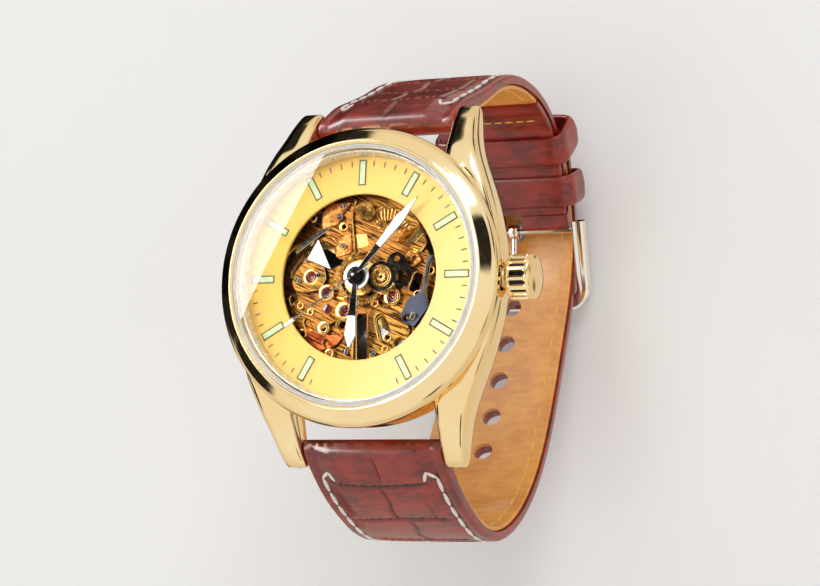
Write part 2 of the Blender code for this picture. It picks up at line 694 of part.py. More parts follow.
def make_plates(places):
    brass = STYLE["bronze"]
    third, escape, barrel, fork, balance = (
        places[k] for k in ("third", "escape", "barrel", "fork", "balance")
    )
    slot = [(-0.9, -4.6), (0.5, -4.6), (0.9, -10.9), (-0.6, -10.9)]
    windows = [
        sector(2.5, BALANCE_R + 0.2, 22, 180, at=balance), sector(1.9, 4.2, 25, 130, at=barrel), slot,
        bar_outline(
            (2.6, -5.6), (3.4, -7.4), 0.6, 0.8, 4,
        ), circle(0.9, (-7.3, 8.4)), circle(0.7, (5.6, -8.8)),
    ]
    pivots = [circle(0.75, at) for at in (third, escape, fork, balance)]
    centre = circle(CENTRE_TUBE_R + RUNNING, sides=COARSE)
    main = plate(
        "main_plate", circle(PLATE_R, sides=FINE), PLATE_BOTTOM, PLATE_TOP, brass,
        holes=[*windows, *pivots, centre],
    )
    recess = disc(
        "barrel_recess", places["barrel_r"] + 0.3, PLATE_BOTTOM - 1, PLATE_TOP - 0.35, brass,
        (*barrel, 0), MEDIUM,
    )
    cut(main, recess)
    join(
        main,
        disc("minute_post", 0.18, PLATE_TOP - 0.2, PLATE_TOP + 0.95, brass, (MOTION_DISTANCE, 0, 0), 8),
    )
    join(main, box("stem_block", (11.4, -1.4, 4.7), (13.3, 1.4, PLATE_BOTTOM + 0.2), brass))
    pinion_space = (WINDING_X - 0.15, -1.7, PLATE_BOTTOM - 0.5), (
        WINDING_X + WINDING_L + 0.15, 1.7, PLATE_TOP - 0.4,
    )
    cut(main, box("pinion_recess", *pinion_space, brass))
    cut(main, rod("stem_hole", (9, 0, STEM_Z), (16, 0, STEM_Z), STEM_R + RUNNING, brass))

    pillars = {
        "barrel_bridge": ((11.7, 5.6), (-7.6, 10.3)), "train_bridge": ((9.4, -8.6), (-2.6, -12.2)),
        "balance_cock": ((-10.0, -7.6),),
    }
    outlines = {
        "barrel_bridge": sector(2.0, BRIDGE_R, 18, 138),
        "train_bridge": sector(0, BRIDGE_R, -108, 8),
        "balance_cock": bar_outline(balance, pillars["balance_cock"][0], 1.4, 1.3),
    }
    pivot_holes = {"train_bridge": (third, escape), "balance_cock": (balance,), "barrel_bridge": ()}
    for name, outline in outlines.items():
        holes = [circle(0.75, at) for at in pivot_holes[name]]
        if name == "barrel_bridge":
            holes.append(circle(0.9, barrel))
        if name == "train_bridge":
            lobe = [(escape[0] + x, escape[1] + y) for x, y in (polar(1.4, a) for a in (150, 195, 240))]
            outline = outline[:-1] + [polar(1.9, 8)] + [polar(1.5, a) for a in (60, 110, 160)] + lobe
            holes.append(circle(0.12 + RUNNING))
        bridge = plate(name, outline, BRIDGE_TOP, BRIDGE_BOTTOM, STYLE["rhodium"], holes=holes)
        for i, at in enumerate(pillars[name]):
            join(
                bridge,
                disc(
                    f"{name}_pillar_{i}", 1.0, BRIDGE_BOTTOM - 0.2, PLATE_BOTTOM - GAP,
                    STYLE["rhodium"], (*at, 0),
                ),
            )
            cut(
                bridge,
                disc(
                    f"{name}_screw_hole_{i}", 0.45, BRIDGE_TOP - 1, BRIDGE_TOP + 2.5, STYLE["rhodium"],
                    (*at, 0), 8,
                ),
            )
        screw(name + "_screw", pillars[name][0])
    cock = plate(
        "pallet_cock", bar_outline(fork, places["fork_foot"], 0.55, 0.85), 5.65, 5.85, STYLE["rhodium"],
    )
    join(
        cock,
        disc(
            "pallet_cock_foot", 0.75, 5.7, PLATE_BOTTOM - GAP, STYLE["rhodium"],
            (*places["fork_foot"], 0),
        ),
    )
    for name, at in (("third", third), ("escape", escape), ("fork", fork), ("balance", balance)):
        top = PLATE_TOP
        profile = ((0.16, top - 0.1), (0.7, top), (0.7, top - 0.6), (0.16, top - 0.6))
        turned(f"{name}_jewel", profile, STYLE["ruby"], (*at, 0), COARSE)
    setting = [
        (3.8, 1.5), (2.2, 2.6), (2.6, 4.0), (5.0, 4.6), (8.0, 2.6), (8.4, -0.6), (6.4, -2.1),
        (4.2, -1.3),
    ]
    setting_holes = (circle(0.75, (6.0, 0)), circle(0.5, (4.9, 2.9)))
    plate("setting_bridge", setting, 8.35, 8.7, STYLE["black"], holes=setting_holes)
    jumper = [
        (9.4, 3.3), (8.9, 0.8), (8.2, -1.9), (8.5, -3.0), (9.9, -3.6), (9.6, -6.9), (7.2, -8.2),
        (5.4, -6.4), (6.3, -4.0), (7.6, -2.7), (8.6, 0.9), (9.1, 3.4),
    ]
    plate(
        "jumper_spring", jumper, PLATE_TOP + GAP, PLATE_TOP + 0.3, STYLE["slate"],
        holes=(circle(0.45, (6.2, -6.0)),),
    )


def screw(name, at):
    head, shank = 0.75, 0.35
    profile = (
        (0, BRIDGE_TOP + 1.9), (
            shank, BRIDGE_TOP + 1.9,
        ), (shank, BRIDGE_TOP - GAP), (head, BRIDGE_TOP - GAP),
        (head, BRIDGE_TOP - 0.3), (0, BRIDGE_TOP - 0.3),
    )
    turned(name, profile[::-1], STYLE["blue"], (*at, 0), COARSE)


def arbor(name, levels, finish_material, at=(0, 0, 0)):
    """A stepped shaft: (radius, top) for each step, from its lowest height up."""
    bottom, steps = levels
    profile = [(0, bottom)]
    low = bottom
    for radius, top in steps:
        profile += [(radius, low), (radius, top)]
        low = top
    profile.append((0, low))
    return turned(name, profile[::-1], finish_material, at, 10)


def make_train():
    brass, steel = STYLE["brass"], STYLE["steel"]
    first_module = 2 * TRAIN_DISTANCE / (CENTRE_TEETH + THIRD_LEAVES)
    second_module = 2 * TRAIN_DISTANCE / (THIRD_TEETH + FOURTH_LEAVES)
    escape_module = 2 * ESCAPE_DISTANCE / (FOURTH_TEETH + ESCAPE_LEAVES)
    barrel_module = 2 * BARREL_DISTANCE / (BARREL_TEETH + CENTRE_LEAVES)
    ratchet_module = CROWN_WHEEL_MODULE
    third, escape = polar(TRAIN_DISTANCE, THIRD_ANGLE), polar(ESCAPE_DISTANCE, ESCAPE_ANGLE)
    ratchet_distance = ratchet_module * (RATCHET_TEETH + CROWN_WHEEL_TEETH) / 2
    barrel_x = (BARREL_DISTANCE**2 - ratchet_distance**2 + CROWN_WHEEL_X**2) / (2 * CROWN_WHEEL_X)
    barrel = (barrel_x, math.sqrt(BARREL_DISTANCE**2 - barrel_x**2))
    barrel_r = barrel_module * (BARREL_TEETH / 2 + 0.62)
    reach = math.dist(escape, BALANCE_AT)
    fork = tuple(e + (b - e) * FORK_REACH / reach for e, b in zip(escape, BALANCE_AT))
    lever = ((BALANCE_AT[0] - escape[0]) / reach, (BALANCE_AT[1] - escape[1]) / reach)
    fork_foot = (fork[0] - FOOT_REACH * lever[1], fork[1] + FOOT_REACH * lever[0])
    places = {
        "third": third, "escape": escape, "barrel": barrel, "fork": fork, "balance": BALANCE_AT,
        "barrel_r": barrel_r, "fork_foot": fork_foot,
    }

    fourth = arbor(
        "fourth_wheel",
        (BRIDGE_TOP + 0.5, ((0.12, 4.75), (0.25, 5.0), (SECONDS_ARBOR_R, SECONDS_HAND_Z + HAND_T))),
        steel,
    )
    wheel_phase = 0.0
    join(
        fourth,
        gear(
            "fourth_rim", FOURTH_TEETH, escape_module, 4.85, 5.0, brass, phase=wheel_phase,
            windows=spokes(0.9, 2.9, 5),
        ),
    )
    pinion_phase = 10.0
    join(fourth, gear("fourth_pinion", FOURTH_LEAVES, second_module, 4.95, 5.5, steel, phase=pinion_phase))

    phase = mesh_phase(pinion_phase, FOURTH_LEAVES, THIRD_TEETH, THIRD_ANGLE)
    made = arbor(
        "third_wheel", (BRIDGE_TOP + 0.2, ((0.12, 4.6), (0.25, 6.5), (0.12, PLATE_TOP - 0.2))), steel,
        (*third, 0),
    )
    rim = gear(
        "third_rim", THIRD_TEETH, second_module, 5.2, 5.35, brass, (*third, 0), phase,
        windows=spokes(0.9, 3.2, 5),
    )
    join(made, rim)
    third_phase = 5.0
    join(made, gear("third_pinion", THIRD_LEAVES, first_module, 5.3, 6.0, steel, (*third, 0), third_phase))

    phase = mesh_phase(third_phase, THIRD_LEAVES, CENTRE_TEETH, THIRD_ANGLE + 180)
    tube_bore = SECONDS_ARBOR_R + RUNNING
    centre = ring("centre_wheel", tube_bore, CENTRE_TUBE_R, 5.6, 9.3, steel, sides=COARSE)
    rim = gear(
        "centre_rim", CENTRE_TEETH, first_module, 5.65, 5.82, brass, phase=phase,
        bore=tube_bore + 0.05, windows=spokes(1.0, 3.2, 4),
    )
    join(centre, rim)
    centre_phase = 7.0
    leaves = gear(
        "centre_pinion", CENTRE_LEAVES, barrel_module, 5.95, 6.6, steel, phase=centre_phase,
        bore=tube_bore + 0.05,
    )
    collar = ring("centre_collar", tube_bore + 0.05, 0.55, 5.75, 6.0, steel, sides=COARSE)
    join(centre, collar, leaves)

    angle = math.degrees(math.atan2(barrel[1], barrel[0]))
    phase = mesh_phase(centre_phase, CENTRE_LEAVES, BARREL_TEETH, angle)
    drum = ring("barrel_drum", 4.45, barrel_r - 0.45, 6.0, PLATE_TOP - 0.45, brass, (*barrel, 0), MEDIUM)
    join(drum, ring("barrel_floor", 0.9, 4.6, 7.2, PLATE_TOP - 0.45, brass, (*barrel, 0), MEDIUM))
    join(drum, gear("barrel_teeth", BARREL_TEETH, barrel_module, 6.0, 6.3, brass, (*barrel, 0), phase, 4.5))
    make_mainspring(barrel)
    arbor(
        "barrel_arbor", (BRIDGE_TOP + 0.2, ((0.8, 4.42), (0.6, 6.3), (0.7, 7.1), (0.6, 7.4))), steel,
        (*barrel, 0),
    )

    wheel_angle = math.degrees(math.atan2(barrel[1], barrel[0] - CROWN_WHEEL_X))
    crown_phase = 180 / CROWN_WHEEL_TEETH
    gear(
        "crown_wheel", CROWN_WHEEL_TEETH, ratchet_module, 4.45, 4.72, steel, (CROWN_WHEEL_X, 0, 0),
        crown_phase, bore=1.2,
    )
    phase = mesh_phase(crown_phase, CROWN_WHEEL_TEETH, RATCHET_TEETH, wheel_angle)
    gear("ratchet_wheel", RATCHET_TEETH, ratchet_module, 4.45, 4.72, steel, (*barrel, 0), phase, bore=0.65)

    escape_angle_phase = mesh_phase(wheel_phase, FOURTH_TEETH, ESCAPE_LEAVES, ESCAPE_ANGLE)
    made = arbor(
        "escape_wheel", (BRIDGE_TOP + 0.2, ((0.1, 4.7), (0.2, 6.5), (0.1, PLATE_TOP - 0.2))), steel,
        (*escape, 0),
    )
    join(
        made,
        gear(
            "escape_pinion", ESCAPE_LEAVES, escape_module, 4.7, 5.15, steel, (*escape, 0),
            escape_angle_phase,
        ),
    )
    join(
        made,
        plate(
            "escape_rim", escape_outline(), 6.1, 6.25, steel, (*escape, 0),
            [circle(0.15), *spokes(0.6, 1.4, 4, 0.4)],
        ),
    )

    make_escapement(places, lever)
    make_motion_works()
    make_rotor()
    return places


def make_mainspring(barrel):
    bm = bmesh.new()
    rings = []
    turns, steps, strip = 3.5, 10, 0.16
    count = int(turns * steps)
    for i in range(count + 1):
        share = i / count
        radius = 1.15 + (4.15 - 1.15) * share
        corners = []
        for r, z in ((radius, 6.4), (radius + strip, 6.4), (radius + strip, 7.1), (radius, 7.1)):
            x, y = polar(r, 360 * turns * share)
            corners.append(bm.verts.new((barrel[0] + x, barrel[1] + y, z)))
        rings.append(corners)
    for a, b in zip(rings, rings[1:]):
        for k in range(4):
            bm.faces.new((a[k], a[(k + 1) % 4], b[(k + 1) % 4], b[k]))
    bm.faces.new(rings[0])
    bm.faces.new(rings[-1][::-1])
    finish("mainspring", bm, STYLE["steel"])


def escape_outline():
    """Club teeth that lean forward."""
    points = []
    for i in range(ESCAPE_TEETH):
        start = 360 * i / ESCAPE_TEETH
        points += [
            polar(1.7, start), polar(ESCAPE_WHEEL_R, start + 9),
            polar(ESCAPE_WHEEL_R - 0.12, start + 12), polar(1.72, start + 9),
        ]
    return points


def make_escapement(places, lever):
    steel = STYLE["steel"]
    fork, balance = places["fork"], places["balance"]
    across = (-lever[1], lever[0])

    def at(along, side):
        return (
            fork[0] + along * lever[0] + side * across[0],
            fork[1] + along * lever[1] + side * across[1],
        )

    reach = math.dist(fork, balance)
    horn = reach - 1.15
    outline = [
        at(
            -0.35, -1.25,
        ), at(-0.75, -1.2), at(-0.75, -0.9), at(-0.3, -0.4), at(-0.3, 0.4), at(-0.75, 0.9), at(-0.75, 1.2),
        at(-0.35, 1.25), at(0.35, 0.3), at(
            horn - 0.5, 0.14,
        ), at(horn - 0.3, 0.42), at(horn, 0.42), at(horn, 0.16),
        at(horn - 0.28, 0.0), at(horn, -0.16), at(horn, -0.42), at(
            horn - 0.3, -0.42,
        ), at(horn - 0.5, -0.14), at(0.35, -0.3),
    ]
    made = arbor("pallet_fork", (5.9, ((0.2, 6.5), (0.1, PLATE_TOP - 0.2))), steel, (*fork, 0))
    join(made, plate("pallet_lever", outline, 6.1, 6.25, steel))

    staff = arbor(
        "balance_wheel",
        (BRIDGE_TOP + 0.2, ((0.1, 4.45), (0.35, 5.6), (0.2, 6.5), (0.1, PLATE_TOP - 0.2))), steel,
        (*balance, 0),
    )
    wheel = plate(
        "balance_rim", circle(BALANCE_R, sides=28), 5.15, 5.45, STYLE["brass"], (*balance, 0), [
            circle(0.25), *spokes(0.8, BALANCE_R - 0.55, 3, 0.6),
        ]
    )
    roller = disc("balance_roller", 0.75, 5.68, 5.8, steel, (*balance, 0))
    pin = disc(
        "impulse_pin", 0.12, 5.75, 6.2, STYLE["ruby"],
        (balance[0] - lever[0] * 0.6, balance[1] - lever[1] * 0.6, 0), 6,
    )
    join(staff, wheel, roller, pin)

    bm = bmesh.new()
    rings = []
    turns, steps = 4, 10
    count = turns * steps
    for i in range(count + 1):
        share = i / count
        radius = 0.3 + 2.2 * share
        corners = []
        for r, z in ((radius, 4.6), (radius + 0.12, 4.6), (radius + 0.12, 4.8), (radius, 4.8)):
            x, y = polar(r, 360 * turns * share)
            corners.append(bm.verts.new((balance[0] + x, balance[1] + y, z)))
        rings.append(corners)
    for a, b in zip(rings, rings[1:]):
        for k in range(4):
            bm.faces.new((a[k], a[(k + 1) % 4], b[(k + 1) % 4], b[k]))
    bm.faces.new(rings[0])
    bm.faces.new(rings[-1][::-1])
    finish("hairspring", bm, STYLE["blue"])


def make_motion_works():
    brass, steel = STYLE["brass"], STYLE["steel"]
    first = 2 * MOTION_DISTANCE / (CANNON_TEETH + MINUTE_TEETH)
    second = 2 * MOTION_DISTANCE / (MINUTE_LEAVES + HOUR_TEETH)
    bore = CENTRE_TUBE_R + GAP / 2
    cannon = ring(
        "cannon_pinion", bore, CANNON_TUBE_R, PLATE_TOP + FREE, MINUTE_HAND_Z + HAND_T, steel,
        sides=COARSE,
    )
    join(
        cannon,
        gear(
            "cannon_teeth", CANNON_TEETH, first, PLATE_TOP + FREE, 8.35, steel, phase=4.0,
            bore=bore + 0.05,
        ),
    )
    phase = mesh_phase(4.0, CANNON_TEETH, MINUTE_TEETH, 0)
    at = (MOTION_DISTANCE, 0, 0)
    hole = 0.18 + RUNNING
    minute = gear("minute_wheel", MINUTE_TEETH, first, 8.02, 8.22, brass, at, phase, hole)
    join(minute, gear("minute_pinion", MINUTE_LEAVES, second, 8.15, 8.78, steel, at, 3.0, hole))
    phase = mesh_phase(3.0, MINUTE_LEAVES, HOUR_TEETH, 180)
    hour = ring(
        "hour_wheel", CANNON_TUBE_R + 0.06, HOUR_TUBE_R, 8.45, HOUR_HAND_Z + HAND_T, brass,
        sides=COARSE,
    )
    join(
        hour,
        gear("hour_teeth", HOUR_TEETH, second, 8.45, 8.65, brass, phase=phase, bore=CANNON_TUBE_R + 0.12),
    )


def make_rotor():
    gold = STYLE["gold"]
    web = sector(1.2, ROTOR_R - 2.7, -92, 92, 10)
    rotor = plate("rotor", web, 2.35, 2.6, STYLE["rhodium"])
    join(rotor, plate("rotor_rim", sector(ROTOR_R - 3, ROTOR_R, -88, 88, 10), 2.1, 2.95, gold))
    join(rotor, ring("rotor_hub", 0.75, 1.9, 2.3, 2.75, STYLE["rhodium"], sides=MEDIUM))
    post = (
        (0, BRIDGE_TOP - GAP), (0.68, BRIDGE_TOP - GAP), (0.68, 2.2), (1.3, 2.2), (1.3, 1.75),
        (0, 1.75),
    )
    turned("rotor_post", post, STYLE["steel"], sides=MEDIUM)


for existing in list(bpy.data.objects):
    bpy.data.objects.remove(existing)
STYLE = {
    "gold": material("polished_gold", (0.83, 0.66, 0.40), 0.12, 1.0),
    "silver": material("polished_steel", (0.80, 0.79, 0.76), 0.15, 1.0),
    "steel": material("steel", (0.55, 0.55, 0.54), 0.25, 1.0),
    "brass": material("gilt_brass", (0.80, 0.58, 0.27), 0.3, 1.0),
    "bronze": material("brushed_bronze", (0.45, 0.29, 0.14), 0.35, 1.0),
    "rhodium": material("rhodium_plate", (0.66, 0.64, 0.60), 0.3, 1.0),
    "champagne": material("champagne_dial", (0.93, 0.79, 0.42), 0.35, 0.4),
    "black": material("black_enamel", (0.01, 0.01, 0.01), 0.25, 0.0),
    "slate": material("slate_steel", (0.05, 0.06, 0.08), 0.3, 0.8),
    "blue": material("blued_steel", (0.05, 0.09, 0.35), 0.2, 1.0),
    "ruby": material("ruby", (0.55, 0.02, 0.08), 0.1, 0.0),
    "glass": material("sapphire_crystal", (0.95, 0.97, 1.0), 0.02, 0.0),
    "white": material("white_nylon", (0.85, 0.83, 0.78), 0.4, 0.0),
    "rubber": material("black_rubber", (0.02, 0.02, 0.02), 0.7, 0.0),
    "leather": material("red_brown_leather", (0.25, 0.03, 0.02), 0.4, 0.0),
    "lining": material("tan_lining", (0.75, 0.38, 0.11), 0.6, 0.0),
}
make_case()
make_crown()
make_strap()
keeper("fixed_keeper", FIXED_KEEPER_Y, FIXED_KEEPER_FREE)
keeper("floating_keeper", FLOATING_KEEPER_Y, FLOATING_KEEPER_FREE)
make_buckle()
make_dial()
make_plates(make_train())
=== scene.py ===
"""The looks of a skeleton wristwatch on a buckled leather strap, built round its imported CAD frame.

Lengths in this script are millimetres until a mesh is made. +Z is the dial's normal, +Y is twelve
o'clock and +X is three o'clock.
"""

# %% [markdown]
# # A skeleton wristwatch
# The frame is loaded first, because every piece takes its place from it. The frame's own box is kept
# too: the floor is laid under its lowest point.

import json
import math

import bmesh
import bpy
import numpy as np
from mathutils import Matrix, Vector
from mathutils.geometry import tessellate_polygon

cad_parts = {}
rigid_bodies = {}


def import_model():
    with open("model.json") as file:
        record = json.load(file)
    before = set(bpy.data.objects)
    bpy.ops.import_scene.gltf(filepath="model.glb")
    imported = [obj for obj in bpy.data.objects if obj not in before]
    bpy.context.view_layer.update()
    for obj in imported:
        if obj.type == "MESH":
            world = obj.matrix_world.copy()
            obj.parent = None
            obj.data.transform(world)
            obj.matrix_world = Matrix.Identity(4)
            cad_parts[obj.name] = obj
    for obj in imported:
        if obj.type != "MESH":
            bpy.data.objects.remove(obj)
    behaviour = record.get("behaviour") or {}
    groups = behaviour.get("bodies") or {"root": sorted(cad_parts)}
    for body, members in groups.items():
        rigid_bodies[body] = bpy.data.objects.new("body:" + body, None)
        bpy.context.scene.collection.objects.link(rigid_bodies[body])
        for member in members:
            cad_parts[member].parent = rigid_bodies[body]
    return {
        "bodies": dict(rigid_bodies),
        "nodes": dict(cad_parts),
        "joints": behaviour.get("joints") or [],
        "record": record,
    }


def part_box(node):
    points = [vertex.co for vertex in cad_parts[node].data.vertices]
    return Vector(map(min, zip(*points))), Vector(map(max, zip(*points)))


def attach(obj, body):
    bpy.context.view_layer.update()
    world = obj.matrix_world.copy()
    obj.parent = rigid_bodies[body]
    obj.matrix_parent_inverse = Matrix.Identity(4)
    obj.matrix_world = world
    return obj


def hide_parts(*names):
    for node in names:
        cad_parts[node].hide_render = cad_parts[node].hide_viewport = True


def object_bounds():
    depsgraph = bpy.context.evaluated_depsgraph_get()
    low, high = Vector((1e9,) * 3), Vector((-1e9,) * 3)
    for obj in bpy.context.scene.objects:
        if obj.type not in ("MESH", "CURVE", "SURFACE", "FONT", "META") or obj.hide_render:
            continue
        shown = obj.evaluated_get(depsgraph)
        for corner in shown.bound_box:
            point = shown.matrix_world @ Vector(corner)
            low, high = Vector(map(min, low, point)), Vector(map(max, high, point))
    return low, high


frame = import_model()
cad_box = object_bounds()
MM = 0.001
TURN = 2 * np.pi


def span(node):
    """The lowest and highest corner of a CAD node, in millimetres."""
    low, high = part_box(node)
    return np.array(low) / MM, np.array(high) / MM


# %% [markdown]
# # Camera, floor and light
# A small shiny thing is photographed from far away with a long lens, so that its round case stays
# round. The watch leans back, three o'clock side towards us: the camera's direction is given by its
# azimuth and elevation about the dial's normal, and by a small roll. Polished gold shows its
# surroundings and not itself. A studio therefore mixes big white panels with black cards, and the
# world here does the same with soft-edged bands of light and dark, which only reflections see.

# %% Camera
CAMERA_AZIMUTH, CAMERA_ELEVATION, CAMERA_ROLL = np.radians((23.66, -9.26, 2.358))
CAMERA_DISTANCE = 336.0
CAMERA_SIDE, CAMERA_UP = 6.651, -2.083
DIAL_TOP = span("dial")[1][2]
LENS_MM, SENSOR_MM = 112.17, 36.0


def camera_axes():
    """Right, up and back as unit vectors: back points from the dial to the lens, then the roll turns the
    rest."""
    across = np.cos(CAMERA_ELEVATION)
    back = np.array(
        (np.sin(CAMERA_AZIMUTH) * across, np.sin(CAMERA_ELEVATION), np.cos(CAMERA_AZIMUTH) * across)
    )
    level = np.cross((0.0, 1.0, 0.0), back)
    level /= np.linalg.norm(level)
    upright = np.cross(back, level)
    right = np.cos(CAMERA_ROLL) * level + np.sin(CAMERA_ROLL) * upright
    up = -np.sin(CAMERA_ROLL) * level + np.cos(CAMERA_ROLL) * upright
    return right, up, back


def make_camera():
    right, up, back = camera_axes()
    data = bpy.data.cameras.new("camera")
    data.lens, data.sensor_width = LENS_MM, SENSOR_MM
    data.clip_start, data.clip_end = 0.01, 10
    camera = bpy.data.objects.new("camera", data)
    bpy.context.scene.collection.objects.link(camera)
    place = np.array((0, 0, DIAL_TOP)) + CAMERA_DISTANCE * back + CAMERA_SIDE * right + CAMERA_UP * up
    turn = Matrix(np.column_stack((right, up, back)).tolist()).to_4x4()
    camera.matrix_world = Matrix.Translation(Vector(place * MM)) @ turn
    bpy.context.scene.camera = camera
    print("camera at", np.round(place, 1), "mm")


make_camera()


# %% Node helpers
class Nodes:
    """Adds shader nodes to one tree and links them, with inputs given by name."""

    def __init__(self, tree):
        self.tree = tree

    def add(self, kind, settings=None, **inputs):
        node = self.tree.nodes.new("ShaderNode" + kind)
        for key, value in (settings or {}).items():
            setattr(node, key, value)
        for key, value in inputs.items():
            self.set(node, key, value)
        return node

    def set(self, node, key, value):
        """A key is a socket's name with _ for a space, or its number after an i."""
        number = key[1:] if key[0] == "i" and key[1:].isdigit() else None
        socket = node.inputs[int(number)] if number else node.inputs[key.replace("_", " ")]
        if isinstance(value, bpy.types.NodeSocket):
            self.tree.links.new(value, socket)
        else:
            socket.default_value = value

    def math(self, operation, *values):
        node = self.add("Math", {"operation": operation})
        for number, value in enumerate(values):
            self.set(node, f"i{number}", value)
        return node.outputs[0]

    def mix(self, share, first, second):
        """A colour between two colours."""
        node = self.add("Mix", {"data_type": "RGBA"}, i0=share)
        self.set(node, "i6", first)
        self.set(node, "i7", second)
        return node.outputs[2]

    def ramp(self, value, stops):
        """Colours or greys at places from 0 to 1."""
        node = self.add("ValToRGB", i0=value)
        ramp = node.color_ramp
        while len(ramp.elements) < len(stops):
            ramp.elements.new(0.5)
        for element, (place, colour) in zip(ramp.elements, stops):
            element.position = place
            element.color = colour if len(colour) == 4 else (*colour, 1)
        return node.outputs[0]

    def between(self, value, low, high, out_low=0.0, out_high=1.0):
        node = self.add("MapRange", {"interpolation_type": "SMOOTHSTEP"})
        for number, given in enumerate((value, low, high, out_low, out_high)):
            self.set(node, f"i{number}", given)
        return node.outputs[0]


def grey(value):
    return (value, value, value, 1)


# %% Studio light
# Polished gold shows the studio, so each black card is placed by the surface that should mirror it: the
# surface's normal, and the card's half width in degrees.
WORLD_LIGHT, WORLD_LOWER_LIGHT = 0.90, 0.76
MIRRORED_CARDS = (
    ((0.00, 0.00, 1.00), 19.0),  # flat tops: the movement's plates, and the crystal beyond the softbox
    ((0.575, 0.122, 0.81), 13.0), ((0.78, 0.17, 0.60), 7.0),  # the bezel's right slope
    ((-0.35, 0.42, 0.84), 7.0), ((0.62, 0.55, 0.56), 6.0),  # the upper lugs
    ((0.75, 0.25, 0.60), 5.0), (
        (0.80, -0.30, 0.55), 4.5,
    ), ((0.93, 0.10, 0.36), 4.0),  # the lugs' and flank's edges
    ((-0.22, 0.40, 0.89), 9.0), ((-0.45, -0.36, 0.82), 12.0), ((0.45, -0.60, 0.66), 5.0),  # the lugs' tops
    ((0.98, -0.15, 0.10), 3.5), ((0.90, 0.42, 0.10), 5.0), ((-0.30, -0.85, 0.40), 10.0),
)
BEHIND_HALF_WIDTH, RIM_HALF_WIDTH = 24.0, 12.0
RIM_AROUND, RIM_LEANS = (
    188, 165, 142, 118, 100,
), (36, 47, 58)  # the upper left rim of the bezel leans outwards
SEEN_GREY, FLOOR_GREY = 0.93, 0.97
DOME_RISE, DOME_R, DOME_EDGE_Z = 0.45, 16.9, 12.3  # the crystal's dome, for the softbox mirrored in it


def card_directions():
    """r = 2 (n . v) n - v for each card's surface, with v the way to the camera, and one card behind the
    object."""
    eye = np.array(bpy.context.scene.camera.matrix_world.translation)
    view = eye / np.linalg.norm(eye)
    found = []
    for normal, half_width in MIRRORED_CARDS:
        unit = np.array(normal) / np.linalg.norm(normal)
        found.append((2 * (unit @ view) * unit - view, half_width))
    for around in np.radians(RIM_AROUND):
        for lean in np.radians(RIM_LEANS):
            unit = np.array((np.sin(lean) * np.cos(around), np.sin(lean) * np.sin(around), np.cos(lean)))
            found.append((2 * (unit @ view) * unit - view, RIM_HALF_WIDTH))
    return found + [(-view, BEHIND_HALF_WIDTH)]


def make_world():
    """A pale dome with black cards in it. The camera itself sees plain pale grey."""
    world = bpy.data.worlds.new("studio")
    bpy.context.scene.world = world
    world.use_nodes = True
    tree = world.node_tree
    tree.nodes.clear()
    n = Nodes(tree)
    direction = n.add("TexCoord").outputs["Generated"]
    height = n.add("SeparateXYZ", Vector=direction).outputs[2]
    light = n.between(height, -0.3, 0.3, WORLD_LOWER_LIGHT, WORLD_LIGHT)
    for unit, half_width in card_directions():
        facing = n.add(
            "VectorMath", {"operation": "DOT_PRODUCT"}, i0=direction, i1=tuple(map(float, unit)),
        ).outputs["Value"]
        edge = math.cos(math.radians(half_width))
        light = n.math("MULTIPLY", light, n.between(facing, edge - 0.010, edge + 0.006, 1.0, 0.02))
    warm = n.mix(n.between(height, -0.4, 0.4), (1.0, 0.90, 0.78, 1), (1.0, 0.985, 0.96, 1))
    reflected = n.add("Background", Color=warm, Strength=light)
    plain = n.add("Background", Color=grey(SEEN_GREY), Strength=1.0)
    seen = n.add("LightPath").outputs["Is Camera Ray"]
    shown = n.add("MixShader", i0=seen, i1=reflected.outputs[0], i2=plain.outputs[0])
    n.add("OutputWorld", Surface=shown.outputs[0])


def area_light(name, towards, distance, size, power):
    """A square softbox out along a direction, facing the case."""
    data = bpy.data.lights.new(name, "AREA")
    data.shape, data.size, data.energy = "SQUARE", size * MM, power
    lamp = bpy.data.objects.new(name, data)
    bpy.context.scene.collection.objects.link(lamp)
    unit = np.array(towards) / np.linalg.norm(towards)
    lamp.location = Vector(unit * distance * MM)
    lamp.rotation_mode = "QUATERNION"
    lamp.rotation_quaternion = Vector(unit).to_track_quat("Z", "Y")
    lamp.visible_camera = False


def make_floor():
    """A wide pale disc under the strap's lowest point. Gold doesn't mirror it, so that its dark side
    stays dark."""
    bm = bmesh.new()
    bmesh.ops.create_circle(bm, cap_ends=True, segments=96, radius=3.0)
    bmesh.ops.translate(bm, verts=bm.verts, vec=(0, 0, cad_box[0][2] - 0.0002))
    mesh = bpy.data.meshes.new("floor")
    bm.to_mesh(mesh)
    bm.free()
    floor = bpy.data.objects.new("floor", mesh)
    bpy.context.scene.collection.objects.link(floor)
    paint = bpy.data.materials.new("floor_paper")
    paint.use_nodes = True
    shader = paint.node_tree.nodes["Principled BSDF"]
    shader.inputs["Base Color"].default_value = grey(FLOOR_GREY)
    shader.inputs["Roughness"].default_value = 0.9
    mesh.materials.append(paint)
    floor.visible_glossy = False
    floor.visible_transmission = False


